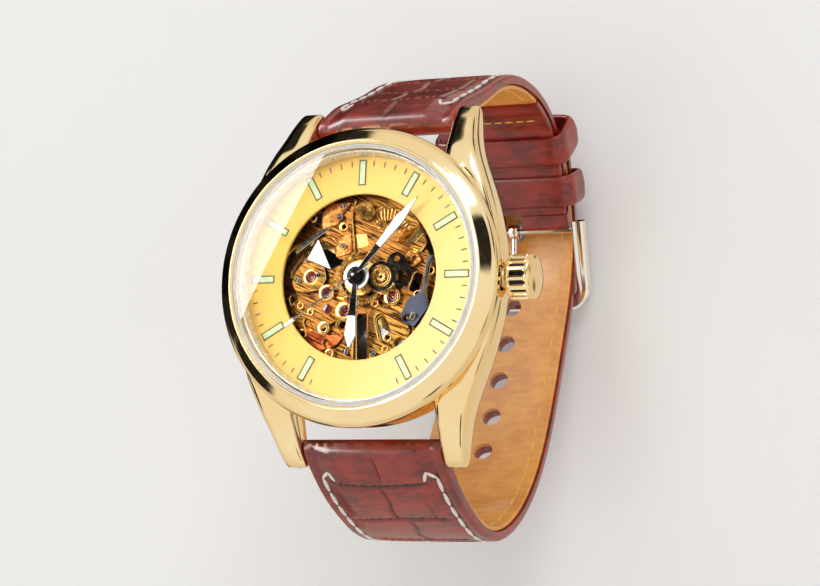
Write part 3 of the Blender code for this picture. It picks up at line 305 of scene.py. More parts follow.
def crystal_softbox(first, second, power, distance=620.0, width=330.0):
    """A softbox whose straight edge is mirrored across the crystal from one point to the other. For each
    point the mirrored ray is r = 2 (n . v) n - v, with n the dome's normal and v the way to the
    camera."""
    eye = np.array(bpy.context.scene.camera.matrix_world.translation) / MM
    ends = []
    for point in (first, second):
        lean = 2 * DOME_RISE * np.array(point) / DOME_R**2
        normal = np.array((*lean, 1.0)) / np.linalg.norm((*lean, 1.0))
        place = np.array((*point, DOME_EDGE_Z))
        view = (eye - place) / np.linalg.norm(eye - place)
        ends.append(place + distance * (2 * (normal @ view) * normal - view))
    middle = (ends[0] + ends[1]) / 2
    along = (ends[1] - ends[0]) / np.linalg.norm(ends[1] - ends[0])
    back = middle / np.linalg.norm(middle)
    across = np.cross(along, back)
    across /= np.linalg.norm(across)
    if across @ (-1.0, 0.3, 0.0) < 0:  # the lamp lies to the left of its mirrored edge
        across = -across
    back = np.cross(across, along)
    if back @ middle < 0:
        along, back = -along, -back
    data = bpy.data.lights.new("softbox", "AREA")
    data.shape, data.size, data.size_y, data.energy = "RECTANGLE", width * MM, 1.5 * width * MM, power
    lamp = bpy.data.objects.new("softbox", data)
    bpy.context.scene.collection.objects.link(lamp)
    turn = Matrix(np.column_stack((across, along, back)).tolist()).to_4x4()
    lamp.matrix_world = Matrix.Translation(Vector((middle + across * width / 2) * MM)) @ turn
    lamp.visible_camera = False
    lamp.visible_diffuse = False


bpy.context.scene.view_settings.view_transform = "Standard"
make_world()
make_floor()
crystal_softbox((-5.2, 15.2), (-14.6, -3.2), power=7.0)
area_light("top_light", (0.35, 0.8, 0.7), 650, 300, 0.8)
print("studio ready")

# %% [markdown]
# # Surfaces from arrays
# Every new piece is one of four things: a grid of points worked out from two parameters, a profile
# turned about an axis, a profile carried along a path, or a flat outline given thickness and
# chamfered edges. Each is computed as a whole array and handed to the mesh in one go.

# %% Put a piece in the scene
def put(name, points, faces, finishes, body, slot, replaces=(), sharp=32.0, marks=None):
    """Points in millimetres and faces become a piece that rides on a body. Doubles are merged and normals
    face out."""
    mesh = bpy.data.meshes.new(name)
    mesh.from_pydata((np.asarray(points) * MM).tolist(), [], [list(map(int, face)) for face in faces])
    for label, values in (marks or {}).items():
        mesh.attributes.new(label, "FLOAT", "POINT").data.foreach_set(
            "value", np.asarray(values, np.float32),
        )
    bm = bmesh.new()
    bm.from_mesh(mesh)
    bmesh.ops.remove_doubles(bm, verts=bm.verts, dist=2e-7)
    bmesh.ops.recalc_face_normals(bm, faces=bm.faces)
    bm.to_mesh(mesh)
    bm.free()
    mesh.shade_smooth()
    mesh.set_sharp_from_angle(angle=math.radians(sharp))
    for finish in finishes if isinstance(finishes, (list, tuple)) else [finishes]:
        mesh.materials.append(finish)
    piece = bpy.data.objects.new(name, mesh)
    bpy.context.scene.collection.objects.link(piece)
    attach(piece, body)
    if replaces:
        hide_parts(*([replaces] if isinstance(replaces, str) else replaces))
    return piece


def grid_faces(rows, columns, close_rows=False, close_columns=False):
    """Quads between neighbours of a grid whose point (i, j) is number i * columns + j."""
    i = np.arange(rows if close_rows else rows - 1)
    j = np.arange(columns if close_columns else columns - 1)
    i, j = (a.ravel() for a in np.meshgrid(i, j, indexing="ij"))
    near, far = i * columns, (i + 1) % rows * columns
    beside = (j + 1) % columns
    return np.column_stack((near + j, far + j, far + beside, near + beside))


def tube_faces(rows, columns, far_cap=True):
    """The wall of a tube made of rings, with a cap on its first ring and, if wanted, on its last."""
    faces = grid_faces(rows, columns, False, True).tolist() + [list(range(columns))]
    return faces + [list(range((rows - 1) * columns, rows * columns))] if far_cap else faces


def signed_power(value, power):
    """|value| to a power, with value's sign. A cosine and a sine raised so trace a superellipse."""
    return np.sign(value) * np.abs(value) ** power


def smooth(x):
    """0 below 0 and 1 above 1, with 3 x^2 - 2 x^3 between them."""
    x = np.clip(x, 0, 1)
    return x * x * (3 - 2 * x)


def rounded(points, radius, steps=5):
    """A closed outline with each corner replaced by a parabola that leaves and meets its sides at the
    radius."""
    points = np.asarray(points, float)
    before, after = np.roll(points, 1, 0) - points, np.roll(points, -1, 0) - points
    reach = np.minimum(
        np.broadcast_to(radius, len(points)),
        0.48 * np.minimum(*(np.linalg.norm(a, axis=1) for a in (before, after))),
    )
    first = points + before / np.linalg.norm(before, axis=1)[:, None] * reach[:, None]
    last = points + after / np.linalg.norm(after, axis=1)[:, None] * reach[:, None]
    t = np.linspace(0, 1, steps)[None, :, None]
    curve = (1 - t) ** 2 * first[:, None] + 2 * t * (1 - t) * points[:, None] + t**2 * last[:, None]
    return curve.reshape(-1, 2)


AXES = {
    "z": np.eye(3),
    "x": np.array(((0, 0, 1), (0, 1, 0), (-1, 0, 0))),
}


def lathe(name, profile, finishes, body, slot, at=(0, 0, 0), axis="z", sides=192, round_off=0.0, **more):
    """A closed (radius, height) profile turned about an axis: x = r cos a, y = r sin a, z = height."""
    profile = rounded(profile, round_off) if round_off else np.asarray(profile, float)
    points, faces = lathe_mesh(np.maximum(profile, (0, -np.inf)), (0, 0), sides)
    return put(name, points @ AXES[axis].T + at, faces, finishes, body, slot, **more)


def arc(at, radius, start, end, steps=24):
    """Points on an arc between two angles in degrees."""
    angle = np.radians(np.linspace(start, end, steps))
    return np.column_stack((at[0] + radius * np.cos(angle), at[1] + radius * np.sin(angle)))


def circle(at, radius, steps=40):
    return arc(at, radius, 0, 360 - 360 / steps, steps)


def area_of(loop):
    x, y = np.asarray(loop).T
    return 0.5 * np.sum(x * np.roll(y, -1) - np.roll(x, -1) * y)


def inset(loop, distance):
    """An outline moved to its left by a distance along the mitres of its corners."""
    along = np.roll(loop, -1, 0) - loop
    along /= np.maximum(np.linalg.norm(along, axis=1)[:, None], 1e-9)
    left = np.column_stack((-along[:, 1], along[:, 0]))
    mitre = left + np.roll(left, 1, 0)
    mitre /= np.maximum(np.sum(mitre * left, axis=1)[:, None], 0.55)
    return loop + distance * mitre


def plate_mesh(outline, holes, low, high, chamfer):
    """Points and faces of a flat piece: its loops at four heights, walls between them, and the two flats
    filled."""
    loops = [np.asarray(outline, float)] + [np.asarray(hole, float) for hole in holes]
    loops = [loop if (area_of(loop) > 0) == (k == 0) else loop[::-1] for k, loop in enumerate(loops)]
    chamfer = min(chamfer, 0.45 * (high - low))
    levels = ((low, chamfer * 0.5), (low + chamfer * 0.5, 0), (high - chamfer, 0), (high, chamfer))
    points, faces, start = [], [], 0
    count = sum(map(len, loops))
    for height, move in levels:
        flat = np.concatenate([inset(loop, move) if move else loop for loop in loops])
        points.append(np.column_stack((flat, np.full(count, height))))
    for loop in loops:
        ring = np.arange(len(loop)) + start
        beside = np.roll(ring, -1)
        for level in range(3):
            low_at, high_at = level * count, (level + 1) * count
            faces += np.column_stack(
                (ring + low_at, beside + low_at, beside + high_at, ring + high_at)
            ).tolist()
        start += len(loop)
    for level, flip in ((0, True), (3, False)):
        filled = tessellate_polygon(
            [[Vector((*p, 0)) for p in inset(loop, levels[level][1])] for loop in loops]
        )
        for corner in filled:
            face = [int(c) + level * count for c in corner]
            faces.append(face[::-1] if flip else face)
    return np.concatenate(points), faces


def plate(name, outline, finishes, body, slot, low, high, holes=(), chamfer=0.08, **more):
    points, faces = plate_mesh(outline, holes, low, high, chamfer)
    return put(name, points, faces, finishes, body, slot, **more)


def many(parts):
    """Several (points, faces) joined as one mesh's points and faces."""
    points, faces, start = [], [], 0
    for some, corners in parts:
        points.append(some)
        faces += [[int(c) + start for c in face] for face in corners]
        start += len(some)
    return np.concatenate(points), faces


def lathe_mesh(profile, at, sides=32):
    """Points and faces of one turned shape that stands at (x, y), alone or as one of many in a piece."""
    profile = np.asarray(profile, float)
    angle = np.linspace(0, TURN, sides, endpoint=False)[:, None]
    radius, height = profile.T
    points = np.stack(
        (at[0] + radius * np.cos(angle), at[1] + radius * np.sin(angle), height + 0 * angle), -1,
    )
    return points.reshape(-1, 3), grid_faces(sides, len(profile), True, True)


def spline(points, step):
    """A Catmull-Rom curve through the points, read off at even steps of its length."""
    points = np.asarray(points, float)
    chain = np.vstack((2 * points[0] - points[1], points, 2 * points[-1] - points[-2]))
    a, b, c, d = (chain[k : len(chain) - 3 + k][:, None] for k in range(4))
    t = np.linspace(0, 1, 24, endpoint=False)[None, :, None]
    fine = 0.5 * (2 * b + (c - a) * t + (2 * a - 5 * b + 4 * c - d) * t**2 + (3 * b - a - 3 * c + d) * t**3)
    fine = np.vstack((fine.reshape(-1, points.shape[1]), points[-1]))
    run = np.concatenate(([0], np.cumsum(np.linalg.norm(np.diff(fine, axis=0), axis=1))))
    wanted = np.linspace(0, run[-1], max(2, int(round(run[-1] / step)) + 1))
    return np.column_stack([np.interp(wanted, run, column) for column in fine.T]), wanted


print("surface tools ready")

# %% [markdown]
# # Finishes
# Real finishes are told apart by how their gloss changes over the surface. Polished gold is almost a
# mirror with faint swirls from wiping. Brushed bronze has straight strokes, with polished chamfers
# cut through them. Three node groups carry what several finishes share: fine swirls, brush strokes
# and chamfers. Each puts out only a mask or a value, and each finish gives it its own numbers.

# %% Shared effects
def group(name, inputs, outputs):
    """An empty shader group with named number inputs and outputs."""
    tree = bpy.data.node_groups.new(name, "ShaderNodeTree")
    for label, default in inputs:
        tree.interface.new_socket(
            label, in_out="INPUT", socket_type="NodeSocketFloat",
        ).default_value = default
    for label in outputs:
        tree.interface.new_socket(label, in_out="OUTPUT", socket_type="NodeSocketFloat")
    n = Nodes(tree)
    return tree, n, tree.nodes.new("NodeGroupInput").outputs, tree.nodes.new("NodeGroupOutput")


def make_swirls():
    """Wiping marks: a fine noise for micro-scratches over a broad one for smudges, as a roughness and a
    height."""
    tree, n, given, out = group(
        "wiping_swirls", (("Scale", 900.0), ("Low", 0.05), ("High", 0.15)), ("Roughness", "Height"),
    )
    place = n.add("TexCoord").outputs["Object"]
    broad = n.add("TexNoise", Vector=place, Scale=220.0, Detail=4.0, Roughness=0.6)
    fine = n.add("TexNoise", Vector=place, Scale=given["Scale"], Detail=2.0)
    both = n.math("MULTIPLY_ADD", fine.outputs[0], 0.4, n.math("MULTIPLY", broad.outputs[0], 0.6))
    n.tree.links.new(n.between(both, 0.35, 0.65, given["Low"], given["High"]), out.inputs["Roughness"])
    n.tree.links.new(both, out.inputs["Height"])
    return tree


def make_strokes():
    """Brush strokes: a noise stretched along one direction, turned by an angle, sharpened to separate
    lines."""
    tree, n, given, out = group(
        "brush_strokes", (
            ("Angle", 0.0), ("Scale", 1000.0), ("Stretch", 14.0), ("Contrast", 0.5),
        ), ("Mask", "Height")
    )
    turn = n.add("CombineXYZ", Z=given["Angle"])
    place = n.add(
        "VectorRotate", {"rotation_type": "EULER_XYZ"}, Vector=n.add("TexCoord").outputs["Object"],
        Rotation=turn.outputs[0],
    )
    size = n.add("CombineXYZ", X=n.math("DIVIDE", 1.0, given["Stretch"]), Y=1.0, Z=0.2)
    long = n.add("VectorMath", {"operation": "MULTIPLY"}, i0=place.outputs[0], i1=size.outputs[0])
    noise = n.add("TexNoise", Vector=long.outputs[0], Scale=given["Scale"], Detail=3.0, Roughness=0.7)
    half = n.math("MULTIPLY", given["Contrast"], 0.5)
    mask = n.between(
        noise.outputs[0], n.math("SUBTRACT", 0.5, n.math("SUBTRACT", 0.5, half)),
        n.math("ADD", 0.5, n.math("SUBTRACT", 0.5, half)),
    )
    n.tree.links.new(mask, out.inputs["Mask"])
    n.tree.links.new(noise.outputs[0], out.inputs["Height"])
    return tree


def make_chamfers():
    """1 on a face that leans between flat and upright, as a chamfer does, and 0 on flats and walls."""
    tree, n, given, out = group("leaning_faces", (("Flat", 0.93), ("Upright", 0.25)), ("Mask",))
    up = n.math("ABSOLUTE", n.add("SeparateXYZ", Vector=n.add("NewGeometry").outputs["Normal"]).outputs[2])
    off_flat = n.between(up, given["Flat"], n.math("ADD", given["Flat"], 0.04), 1.0, 0.0)
    off_wall = n.between(up, n.math("SUBTRACT", given["Upright"], 0.1), given["Upright"], 0.0, 1.0)
    n.tree.links.new(n.math("MULTIPLY", off_flat, off_wall), out.inputs["Mask"])
    return tree


SWIRLS, STROKES, CHAMFERS = make_swirls(), make_strokes(), make_chamfers()
print("shared effects", SWIRLS.name, STROKES.name, CHAMFERS.name)


# %% Metals
def new_finish(name, **constants):
    """A material, its helper and its shader, with constants set straight on the shader's sockets."""
    made = bpy.data.materials.new(name)
    made.use_nodes = True
    shader = made.node_tree.nodes["Principled BSDF"]
    for key, value in constants.items():
        shader.inputs[key.replace("_", " ")].default_value = value
    return made, Nodes(made.node_tree), shader


def use(n, tree, **inputs):
    node = n.tree.nodes.new("ShaderNodeGroup")
    node.node_tree = tree
    for key, value in inputs.items():
        n.set(node, key, value)
    return node


def bump(n, shader, height, strength, distance=0.00002):
    made = n.add("Bump", Height=height, Strength=strength, Distance=distance)
    n.set(shader, "Normal", made.outputs[0])


def polished(name, colour, deep, low=0.04, high=0.12, wiping=0.08, **constants):
    """A mirror metal: swirls vary its roughness, and its colour deepens a little in broad patches."""
    made, n, shader = new_finish(name, Metallic=1.0, **constants)
    swirls = use(n, SWIRLS, Scale=1400.0, Low=low, High=high)
    patches = n.add("TexNoise", Vector=n.add("TexCoord").outputs["Object"], Scale=90.0, Detail=3.0)
    n.set(shader, "Base_Color", n.mix(n.between(patches.outputs[0], 0.35, 0.65), (*colour, 1), (*deep, 1)))
    n.set(shader, "Roughness", swirls.outputs["Roughness"])
    bump(n, shader, swirls.outputs["Height"], wiping)
    return made


def brushed(name, light, dark, edge, angle, scale=1500.0, stretch=14.0, contrast=0.5, rough=(0.28, 0.42)):
    """A stroked metal with polished chamfers: strokes pick between two colours, and leaning faces take
    the edge's."""
    made, n, shader = new_finish(name, Metallic=1.0)
    strokes = use(n, STROKES, Angle=math.radians(angle), Scale=scale, Stretch=stretch, Contrast=contrast)
    lean = use(n, CHAMFERS).outputs["Mask"]
    face = n.mix(strokes.outputs["Mask"], (*dark, 1), (*light, 1))
    n.set(shader, "Base_Color", n.mix(lean, face, (*edge, 1)))
    flat_rough = n.between(strokes.outputs["Mask"], 0.0, 1.0, rough[1], rough[0])
    n.set(shader, "Roughness", n.math("MULTIPLY_ADD", lean, -0.18, flat_rough))
    bump(n, shader, strokes.outputs["Height"], 0.35)
    return made


GOLD = polished("polished_gold", (1.0, 0.80, 0.46), (0.98, 0.74, 0.38))
DEEP_GOLD = polished("deep_gold", (1.0, 0.66, 0.22), (0.80, 0.40, 0.09), 0.06, 0.18)
STEEL = polished("polished_steel", (0.72, 0.71, 0.69), (0.62, 0.61, 0.60))
SILVER = polished("buckle_silver", (0.92, 0.89, 0.83), (0.85, 0.81, 0.74))
HUB_SILVER = polished("hub_silver", (0.55, 0.55, 0.53), (0.42, 0.42, 0.40), 0.36, 0.5)
COPPER = polished("gilt_copper", (0.82, 0.36, 0.10), (0.45, 0.13, 0.03), 0.12, 0.32)
BLACK_METAL = polished("black_metal", (0.012, 0.011, 0.012), (0.03, 0.025, 0.02), 0.12, 0.28)
SLATE = polished("slate_steel", (0.045, 0.05, 0.065), (0.03, 0.033, 0.045), 0.3, 0.45)
BLUE_STEEL = polished("blued_steel", (0.02, 0.05, 0.32), (0.03, 0.02, 0.2), 0.06, 0.16)
BRONZE = brushed(
    "brushed_bronze", (0.42, 0.20, 0.04), (0.018, 0.006, 0.002), (1.0, 0.70, 0.24), 24, 4200.0, 13.0,
    0.82,
)
BRASS_WHEEL = brushed(
    "circled_brass", (0.82, 0.53, 0.17), (0.3, 0.15, 0.04), (1.0, 0.7, 0.25), 70, 3800.0, 10.0, 0.7,
)
RHODIUM = brushed(
    "striped_rhodium", (0.7, 0.69, 0.67), (0.42, 0.41, 0.4), (0.9, 0.88, 0.84), 45, stretch=30,
)
print("metals ready")

# %% [markdown]
# # Case, lugs and bezel
# The case is turned from bar, so its middle, bezel and back are profiles spun about the dial's axis,
# with every corner eased as a polishing wheel leaves it. The four lugs aren't turned. Each is a horn
# whose upper and lower edges are curves, so it is lofted: at each step along the horn a
# rounded-rectangle section is fitted between those two curves, and it shrinks to a round tip.

# %% Sizes read from the frame
BEZEL_LOW, BEZEL_HIGH = span("bezel")
BEZEL_R = BEZEL_HIGH[0]
CRYSTAL_LOW, CRYSTAL_HIGH = span("crystal")
CRYSTAL_R = CRYSTAL_HIGH[0]
BACK_LOW, BACK_HIGH = span("case_back")
BACK_R = BACK_HIGH[0]
DIAL_LOW, DIAL_HIGH = span("dial")
DIAL_R = DIAL_HIGH[0]
CASE_R, CASE_TOP, CASE_BOTTOM = 19.4, BEZEL_LOW[2] - 0.04, BACK_HIGH[2] + 0.04
CASE_BORE = span("movement_holder")[1][0] + 0.04
LUG_INSIDE = 10.1
STEM_Z = span("stem")[1][2] - 0.42
print("case radius", CASE_R, "crystal", CRYSTAL_R)


# %% The turned case
def make_case_middle():
    """A nearly straight-sided ring that narrows towards the back."""
    profile = (
        (CASE_BORE, CASE_TOP), (CASE_R - 0.35, CASE_TOP), (CASE_R, CASE_TOP - 0.45), (CASE_R, 6.0),
        (CASE_R - 0.05, 4.6), (CASE_R - 0.3, 3.4), (BACK_R + 0.3, CASE_BOTTOM + 0.4), (BACK_R, CASE_BOTTOM),
        (CASE_BORE, CASE_BOTTOM),
    )
    lathe(
        "case_middle", profile, GOLD, "case", "polished_gold", sides=256, round_off=0.35,
        replaces="mid_case",
    )


def make_bezel():
    """A wide sloped ring: a bright seat for the crystal, a straight slope, a rolled rim and an
    undercut."""
    seat = CRYSTAL_R + 0.33
    edge = (
        (17.83, 12.1), (18.05, 12.0), (18.5, 11.69), (18.95, 11.37), (19.38, 11.04), (19.72, 10.66),
        (19.92, 10.2), (BEZEL_R, 9.65),
    )
    crown, _ = spline(edge, 0.08)
    rim = ((BEZEL_R - 0.05, 9.4), (BEZEL_R - 0.45, BEZEL_LOW[2]), (CASE_BORE + 0.05, BEZEL_LOW[2]))
    well = (
        (CASE_BORE - 0.1, CRYSTAL_LOW[2] - 0.04), (seat, CRYSTAL_LOW[2] - 0.04),
        (seat, CRYSTAL_LOW[2] + 0.8),
    )
    profile = np.vstack((crown, rim, well))
    lathe("bezel_ring", profile, GOLD, "case", "polished_gold", sides=256, round_off=0.03, replaces="bezel")


LUG_UPPER = (
    (2.6, 8.15), (7.0, 8.4), (11.0, 8.6), (13.6, 8.6), (
        15.6, 8.25,
    ), (17.8, 7.3), (19.8, 6.0), (21.8, 4.6), (23.3, 3.25),
    (24.1, 2.3), (24.35, 1.6),
)
LUG_LOWER = (
    (2.6, 3.9), (7.0, 3.4), (11.0, 2.8), (
        13.6, 2.35,
    ), (15.6, 2.2), (17.6, 1.9), (19.6, 1.35), (21.4, 0.75), (22.8, 0.42),
    (23.8, 0.5), (24.35, 1.2),
)
LUG_PLAN = (  # (y, x) of the flank, which leaves the round case as a tangent and ends in the horn
    (2.6, 19.25), (5.0, 18.95), (8.0, 18.25), (10.0, 17.7), (
        12.0, 17.05,
    ), (14.0, 16.3), (16.0, 15.5), (18.0, 14.75),
    (20.0, 14.1), (22.0, 13.6), (24.4, 13.0),
)
LUG_WALL_R = 17.3  # keeps the flank's inner side in the case wall


def lug_mesh(across, along, rows=120, columns=72):
    """At share t along the horn the section is a superellipse of power 3.4 between the two edge curves,
    and it closes over the last twentieth as the root of 1 - t^2 does, which gives a round end."""
    upper, _ = spline(LUG_UPPER, 0.05)
    lower, _ = spline(LUG_LOWER, 0.05)
    t = np.linspace(0, 1, rows)
    pick = [
        np.column_stack([np.interp(t, np.linspace(0, 1, len(line)), column) for column in line.T])
        for line in (upper, lower)
    ]
    middle, half = (pick[0] + pick[1]) / 2, (pick[0] - pick[1]) / 2
    plan = spline(LUG_PLAN, 0.05)[0]
    outer = np.interp(middle[:, 0], plan[:, 0], plan[:, 1])
    inner = np.maximum(LUG_INSIDE, np.sqrt(np.maximum(LUG_WALL_R**2 - middle[:, 0] ** 2, 0)))
    centre_x, half_x = (outer + inner) / 2, (outer - inner) / 2
    close = np.sqrt(np.clip(1 - np.clip((t - 0.93) / 0.07, 0, 1) ** 2, 0, 1)) * 0.35 + 0.65
    close[-1] = 0
    angle = np.linspace(0, TURN, columns, endpoint=False)
    c, s = np.cos(angle), np.sin(angle)
    side, rise = signed_power(c, 2 / 3.4), signed_power(s, 2 / 3.4)
    x = centre_x[:, None] + (half_x * close)[:, None] * side
    y = middle[:, :1] + half[:, :1] * rise
    z = middle[:, 1:] + half[:, 1:] * rise
    points = np.stack((across * x, along * y, z), -1).reshape(-1, 3)
    return points, tube_faces(rows, columns, far_cap=False)


def make_lugs():
    for number, (across, along) in enumerate(((1, 1), (-1, 1), (-1, -1), (1, -1)), 1):
        points, faces = lug_mesh(across, along)
        put(f"lug_{number}", points, faces, GOLD, "case", "polished_gold", replaces="mid_case", sharp=60)


make_case_middle()
make_bezel()
make_lugs()
print("case, bezel and four lugs")

# %% [markdown]
# # Crystal, gasket and dial ring
# The crystal is a shallow dome of mineral glass in a white nylon gasket. Under it a silvery ring slopes
# down to the dial. Glass is left plain, because its look is all reflection, and it throws no shadow
# here: real glass this thin passes nearly all the light.

# %% Glass and ring
def plain(name, colour, deep, low, high, scale=800.0, height=0.15, **constants):
    """A non-metal with a mottled colour, an uneven gloss and a fine grain."""
    made, n, shader = new_finish(name, **constants)
    noise = n.add("TexNoise", Vector=n.add("TexCoord").outputs["Object"], Scale=scale, Detail=4.0)
    share = n.between(noise.outputs[0], 0.35, 0.65)
    n.set(shader, "Base_Color", n.mix(share, (*colour, 1), (*deep, 1)))
    n.set(shader, "Roughness", n.between(noise.outputs[0], 0.3, 0.7, low, high))
    bump(n, shader, noise.outputs[0], height)
    return made


GLASS, _, _ = new_finish(
    "mineral_glass", Base_Color=(1, 1, 1, 1), Transmission_Weight=1.0, Roughness=0.0, IOR=1.47, Metallic=0.0
)
NYLON = plain("white_nylon", (0.86, 0.85, 0.83), (0.78, 0.77, 0.74), 0.3, 0.45)
RUBBER = plain("black_rubber", (0.02, 0.02, 0.02), (0.035, 0.033, 0.03), 0.5, 0.7)
RING_SILVER = plain("satin_ring", (0.80, 0.77, 0.70), (0.72, 0.68, 0.60), 0.22, 0.38, Metallic=0.7)


def make_crystal():
    """The dome's height falls as the square of the radius, from its middle to an eased edge."""
    low, high = CRYSTAL_LOW[2], CRYSTAL_HIGH[2]
    radius = np.linspace(0, CRYSTAL_R - 0.25, 40)
    dome = np.column_stack((radius, high - DOME_RISE * (radius / (CRYSTAL_R - 0.25)) ** 2))
    edge = ((CRYSTAL_R, high - 0.75), (CRYSTAL_R, low), (0, low))
    piece = lathe(
        "crystal_dome", np.vstack(
            (dome, edge)
        ), [GLASS, NYLON], "case", "sapphire_crystal", replaces="crystal", sharp=25
    )
    walls = np.zeros(3 * len(piece.data.polygons), np.float32)
    piece.data.polygons.foreach_get("normal", walls)
    walls = np.abs(walls.reshape(-1, 3)[:, 2]) < 0.85  # the edge is ground matt and sits in the gasket
    piece.data.polygons.foreach_set("material_index", walls.astype(np.int32))
    piece.visible_shadow = False


def make_dial_ring():
    low = DIAL_HIGH[2] + 0.04
    top = CRYSTAL_LOW[2] - 0.08
    profile = (
        (16.05, low), (16.12, low + 0.35), (16.42, top - 0.1), (16.62, top), (CASE_BORE - 0.15, top),
        (CASE_BORE - 0.15, low),
    )
    lathe("dial_ring", profile, RING_SILVER, "case", "steel", round_off=0.08, replaces="rehaut_ring")
    low, high = span("crystal_gasket")
    inner = CRYSTAL_R + 0.04
    profile = (
        (inner, low[2]), (high[0], low[2]), (high[0], high[2] + 0.1), (inner + 0.12, high[2] + 0.16),
        (inner, high[2] + 0.05),
    )
    lathe("nylon_gasket", profile, NYLON, "case", "white_nylon", replaces="crystal_gasket")


make_crystal()
make_dial_ring()
print("crystal, gasket and dial ring")

# %% [markdown]
# # Dial
# The dial is a champagne lacquer over brass with a silky grain, and a painted shading makes it deeper
# gold on one side and pale on the other. On it lie eleven printed frames with pale green luminous
# paint inside, and short dark minute strokes. The place at six holds none. Print has a thickness too,
# so each mark is a real thin plate.

# %% Dial lacquer
DIAL_OPENING = 11.0
HOUR_INNER, HOUR_OUTER, HOUR_WIDTH = 12.18, 15.62, 1.06
MINUTE_INNER, MINUTE_OUTER = 14.75, 15.62


def champagne():
    """A painted shading that runs across the dial, deeper gold at its upper left and paler at its lower
    right, over a fine silk.
    """
    made, n, shader = new_finish("champagne_lacquer", Metallic=0.04, Specular_IOR_Level=0.12)
    place = n.add("TexCoord").outputs["Object"]
    along = n.add("Mapping", {"vector_type": "POINT"}, Vector=place, Rotation=(0, 0, math.radians(28)))
    across = n.add("SeparateXYZ", Vector=along.outputs[0]).outputs[0]
    silk = n.add("TexNoise", Vector=place, Scale=2600.0, Detail=2.0)
    broad = n.add("TexNoise", Vector=place, Scale=60.0, Detail=2.0)
    # painted shading: the colour steps from deeper gold to paler across a line at 28 degrees; the broad noise
    # is the lacquer's own uneven tone
    share = n.math(
        "ADD", n.between(across, -0.018, 0.016),
        n.math("MULTIPLY", n.math("SUBTRACT", broad.outputs[0], 0.5), 0.5),
    )
    colour = n.ramp(
        share,
        (
            (0.0, (0.70, 0.42, 0.075)), (0.35, (0.72, 0.46, 0.11)), (0.7, (0.71, 0.48, 0.14)),
            (1.0, (0.71, 0.51, 0.20)),
        ),
    )
    n.set(shader, "Base_Color", colour)
    n.set(shader, "Roughness", n.between(silk.outputs[0], 0.3, 0.7, 0.30, 0.40))
    bump(n, shader, silk.outputs[0], 0.12)
    return made


CHAMPAGNE = champagne()
PRINT = plain("dark_print", (0.035, 0.022, 0.01), (0.07, 0.045, 0.02), 0.35, 0.5)
LUME = plain("pale_green_lume", (0.44, 0.58, 0.25), (0.54, 0.66, 0.36), 0.5, 0.7, scale=2200.0)
WHITE_LUME = plain("white_lume", (0.86, 0.83, 0.74), (0.92, 0.9, 0.84), 0.4, 0.6, scale=2200.0)


def bar(inner, outer, width, clock_degrees):
    """The outline of a radial stroke at a clock angle, in the dial's plane."""
    turn = np.radians(90 - clock_degrees)
    out, side = np.array((np.cos(turn), np.sin(turn))), np.array((-np.sin(turn), np.cos(turn))) * width / 2
    return np.array((inner * out - side, outer * out - side, outer * out + side, inner * out + side))


def make_dial():
    floor, top = DIAL_LOW[2], DIAL_HIGH[2]
    profile = (
        (DIAL_OPENING + 0.06, floor), (DIAL_R, floor), (DIAL_R, top), (DIAL_OPENING + 0.12, top),
        (DIAL_OPENING, top - 0.12),
    )
    lathe("dial_plate", profile, CHAMPAGNE, "case", "champagne_dial", replaces="dial", sharp=20)
    frames, fills, strokes = [], [], []
    for minute in range(60):
        clock = 6.0 * minute
        if minute == 30:
            continue
        if minute % 5:
            if abs(minute - 30) > 3:
                strokes.append(
                    plate_mesh(
                        bar(MINUTE_INNER, MINUTE_OUTER - 0.1, 0.17, clock), (), top, top + 0.03, 0.01,
                    )
                )
            continue
        outer = bar(HOUR_INNER, HOUR_OUTER, HOUR_WIDTH, clock)
        inner = bar(HOUR_INNER + 0.17, HOUR_OUTER - 0.17, HOUR_WIDTH - 0.34, clock)
        frames.append(plate_mesh(outer, (inner,), top, top + 0.07, 0.03))
        fills.append(plate_mesh(inner, (), top, top + 0.05, 0.015))
    put("hour_frames", *many(frames), PRINT, "case", "black_metal")
    put("hour_lume", *many(fills), LUME, "case", "champagne_dial")
    put("minute_strokes", *many(strokes), PRINT, "case", "black_metal")
    print("dial with", len(frames), "hour marks and", len(strokes), "minute strokes")


make_dial()

# %% [markdown]
# # Hands
# The hour and minute hands are lozenges that widen towards the end. The half near the hub is black and
# the outer part carries white paint, inside a thin bright frame. A hand is a flat plate with chamfered
# edges, and the paint is a second, slightly smaller plate that stands a hair above it.

# %% Hands turned to their time
HAND_MINUTE = 6 + 39.3 / 60
CLOCK = {"hour": 30 * (6 + HAND_MINUTE / 60), "minute": 6 * HAND_MINUTE, "seconds": 6 * 39.3}


def turned(outline, clock_degrees):
    """An outline drawn along twelve o'clock, turned clockwise."""
    turn = np.radians(-clock_degrees)
    return np.asarray(outline, float) @ np.array(
        ((np.cos(turn), np.sin(turn)), (-np.sin(turn), np.cos(turn)))
    )


def blade(stations):
    """A symmetric outline from (distance, half width) stations."""
    y, half = np.asarray(stations, float).T
    right, left = np.column_stack((half, y)), np.column_stack((-half, y))[::-1]
    return np.vstack((right, left[1:] if half[-1] < 1e-6 else left))


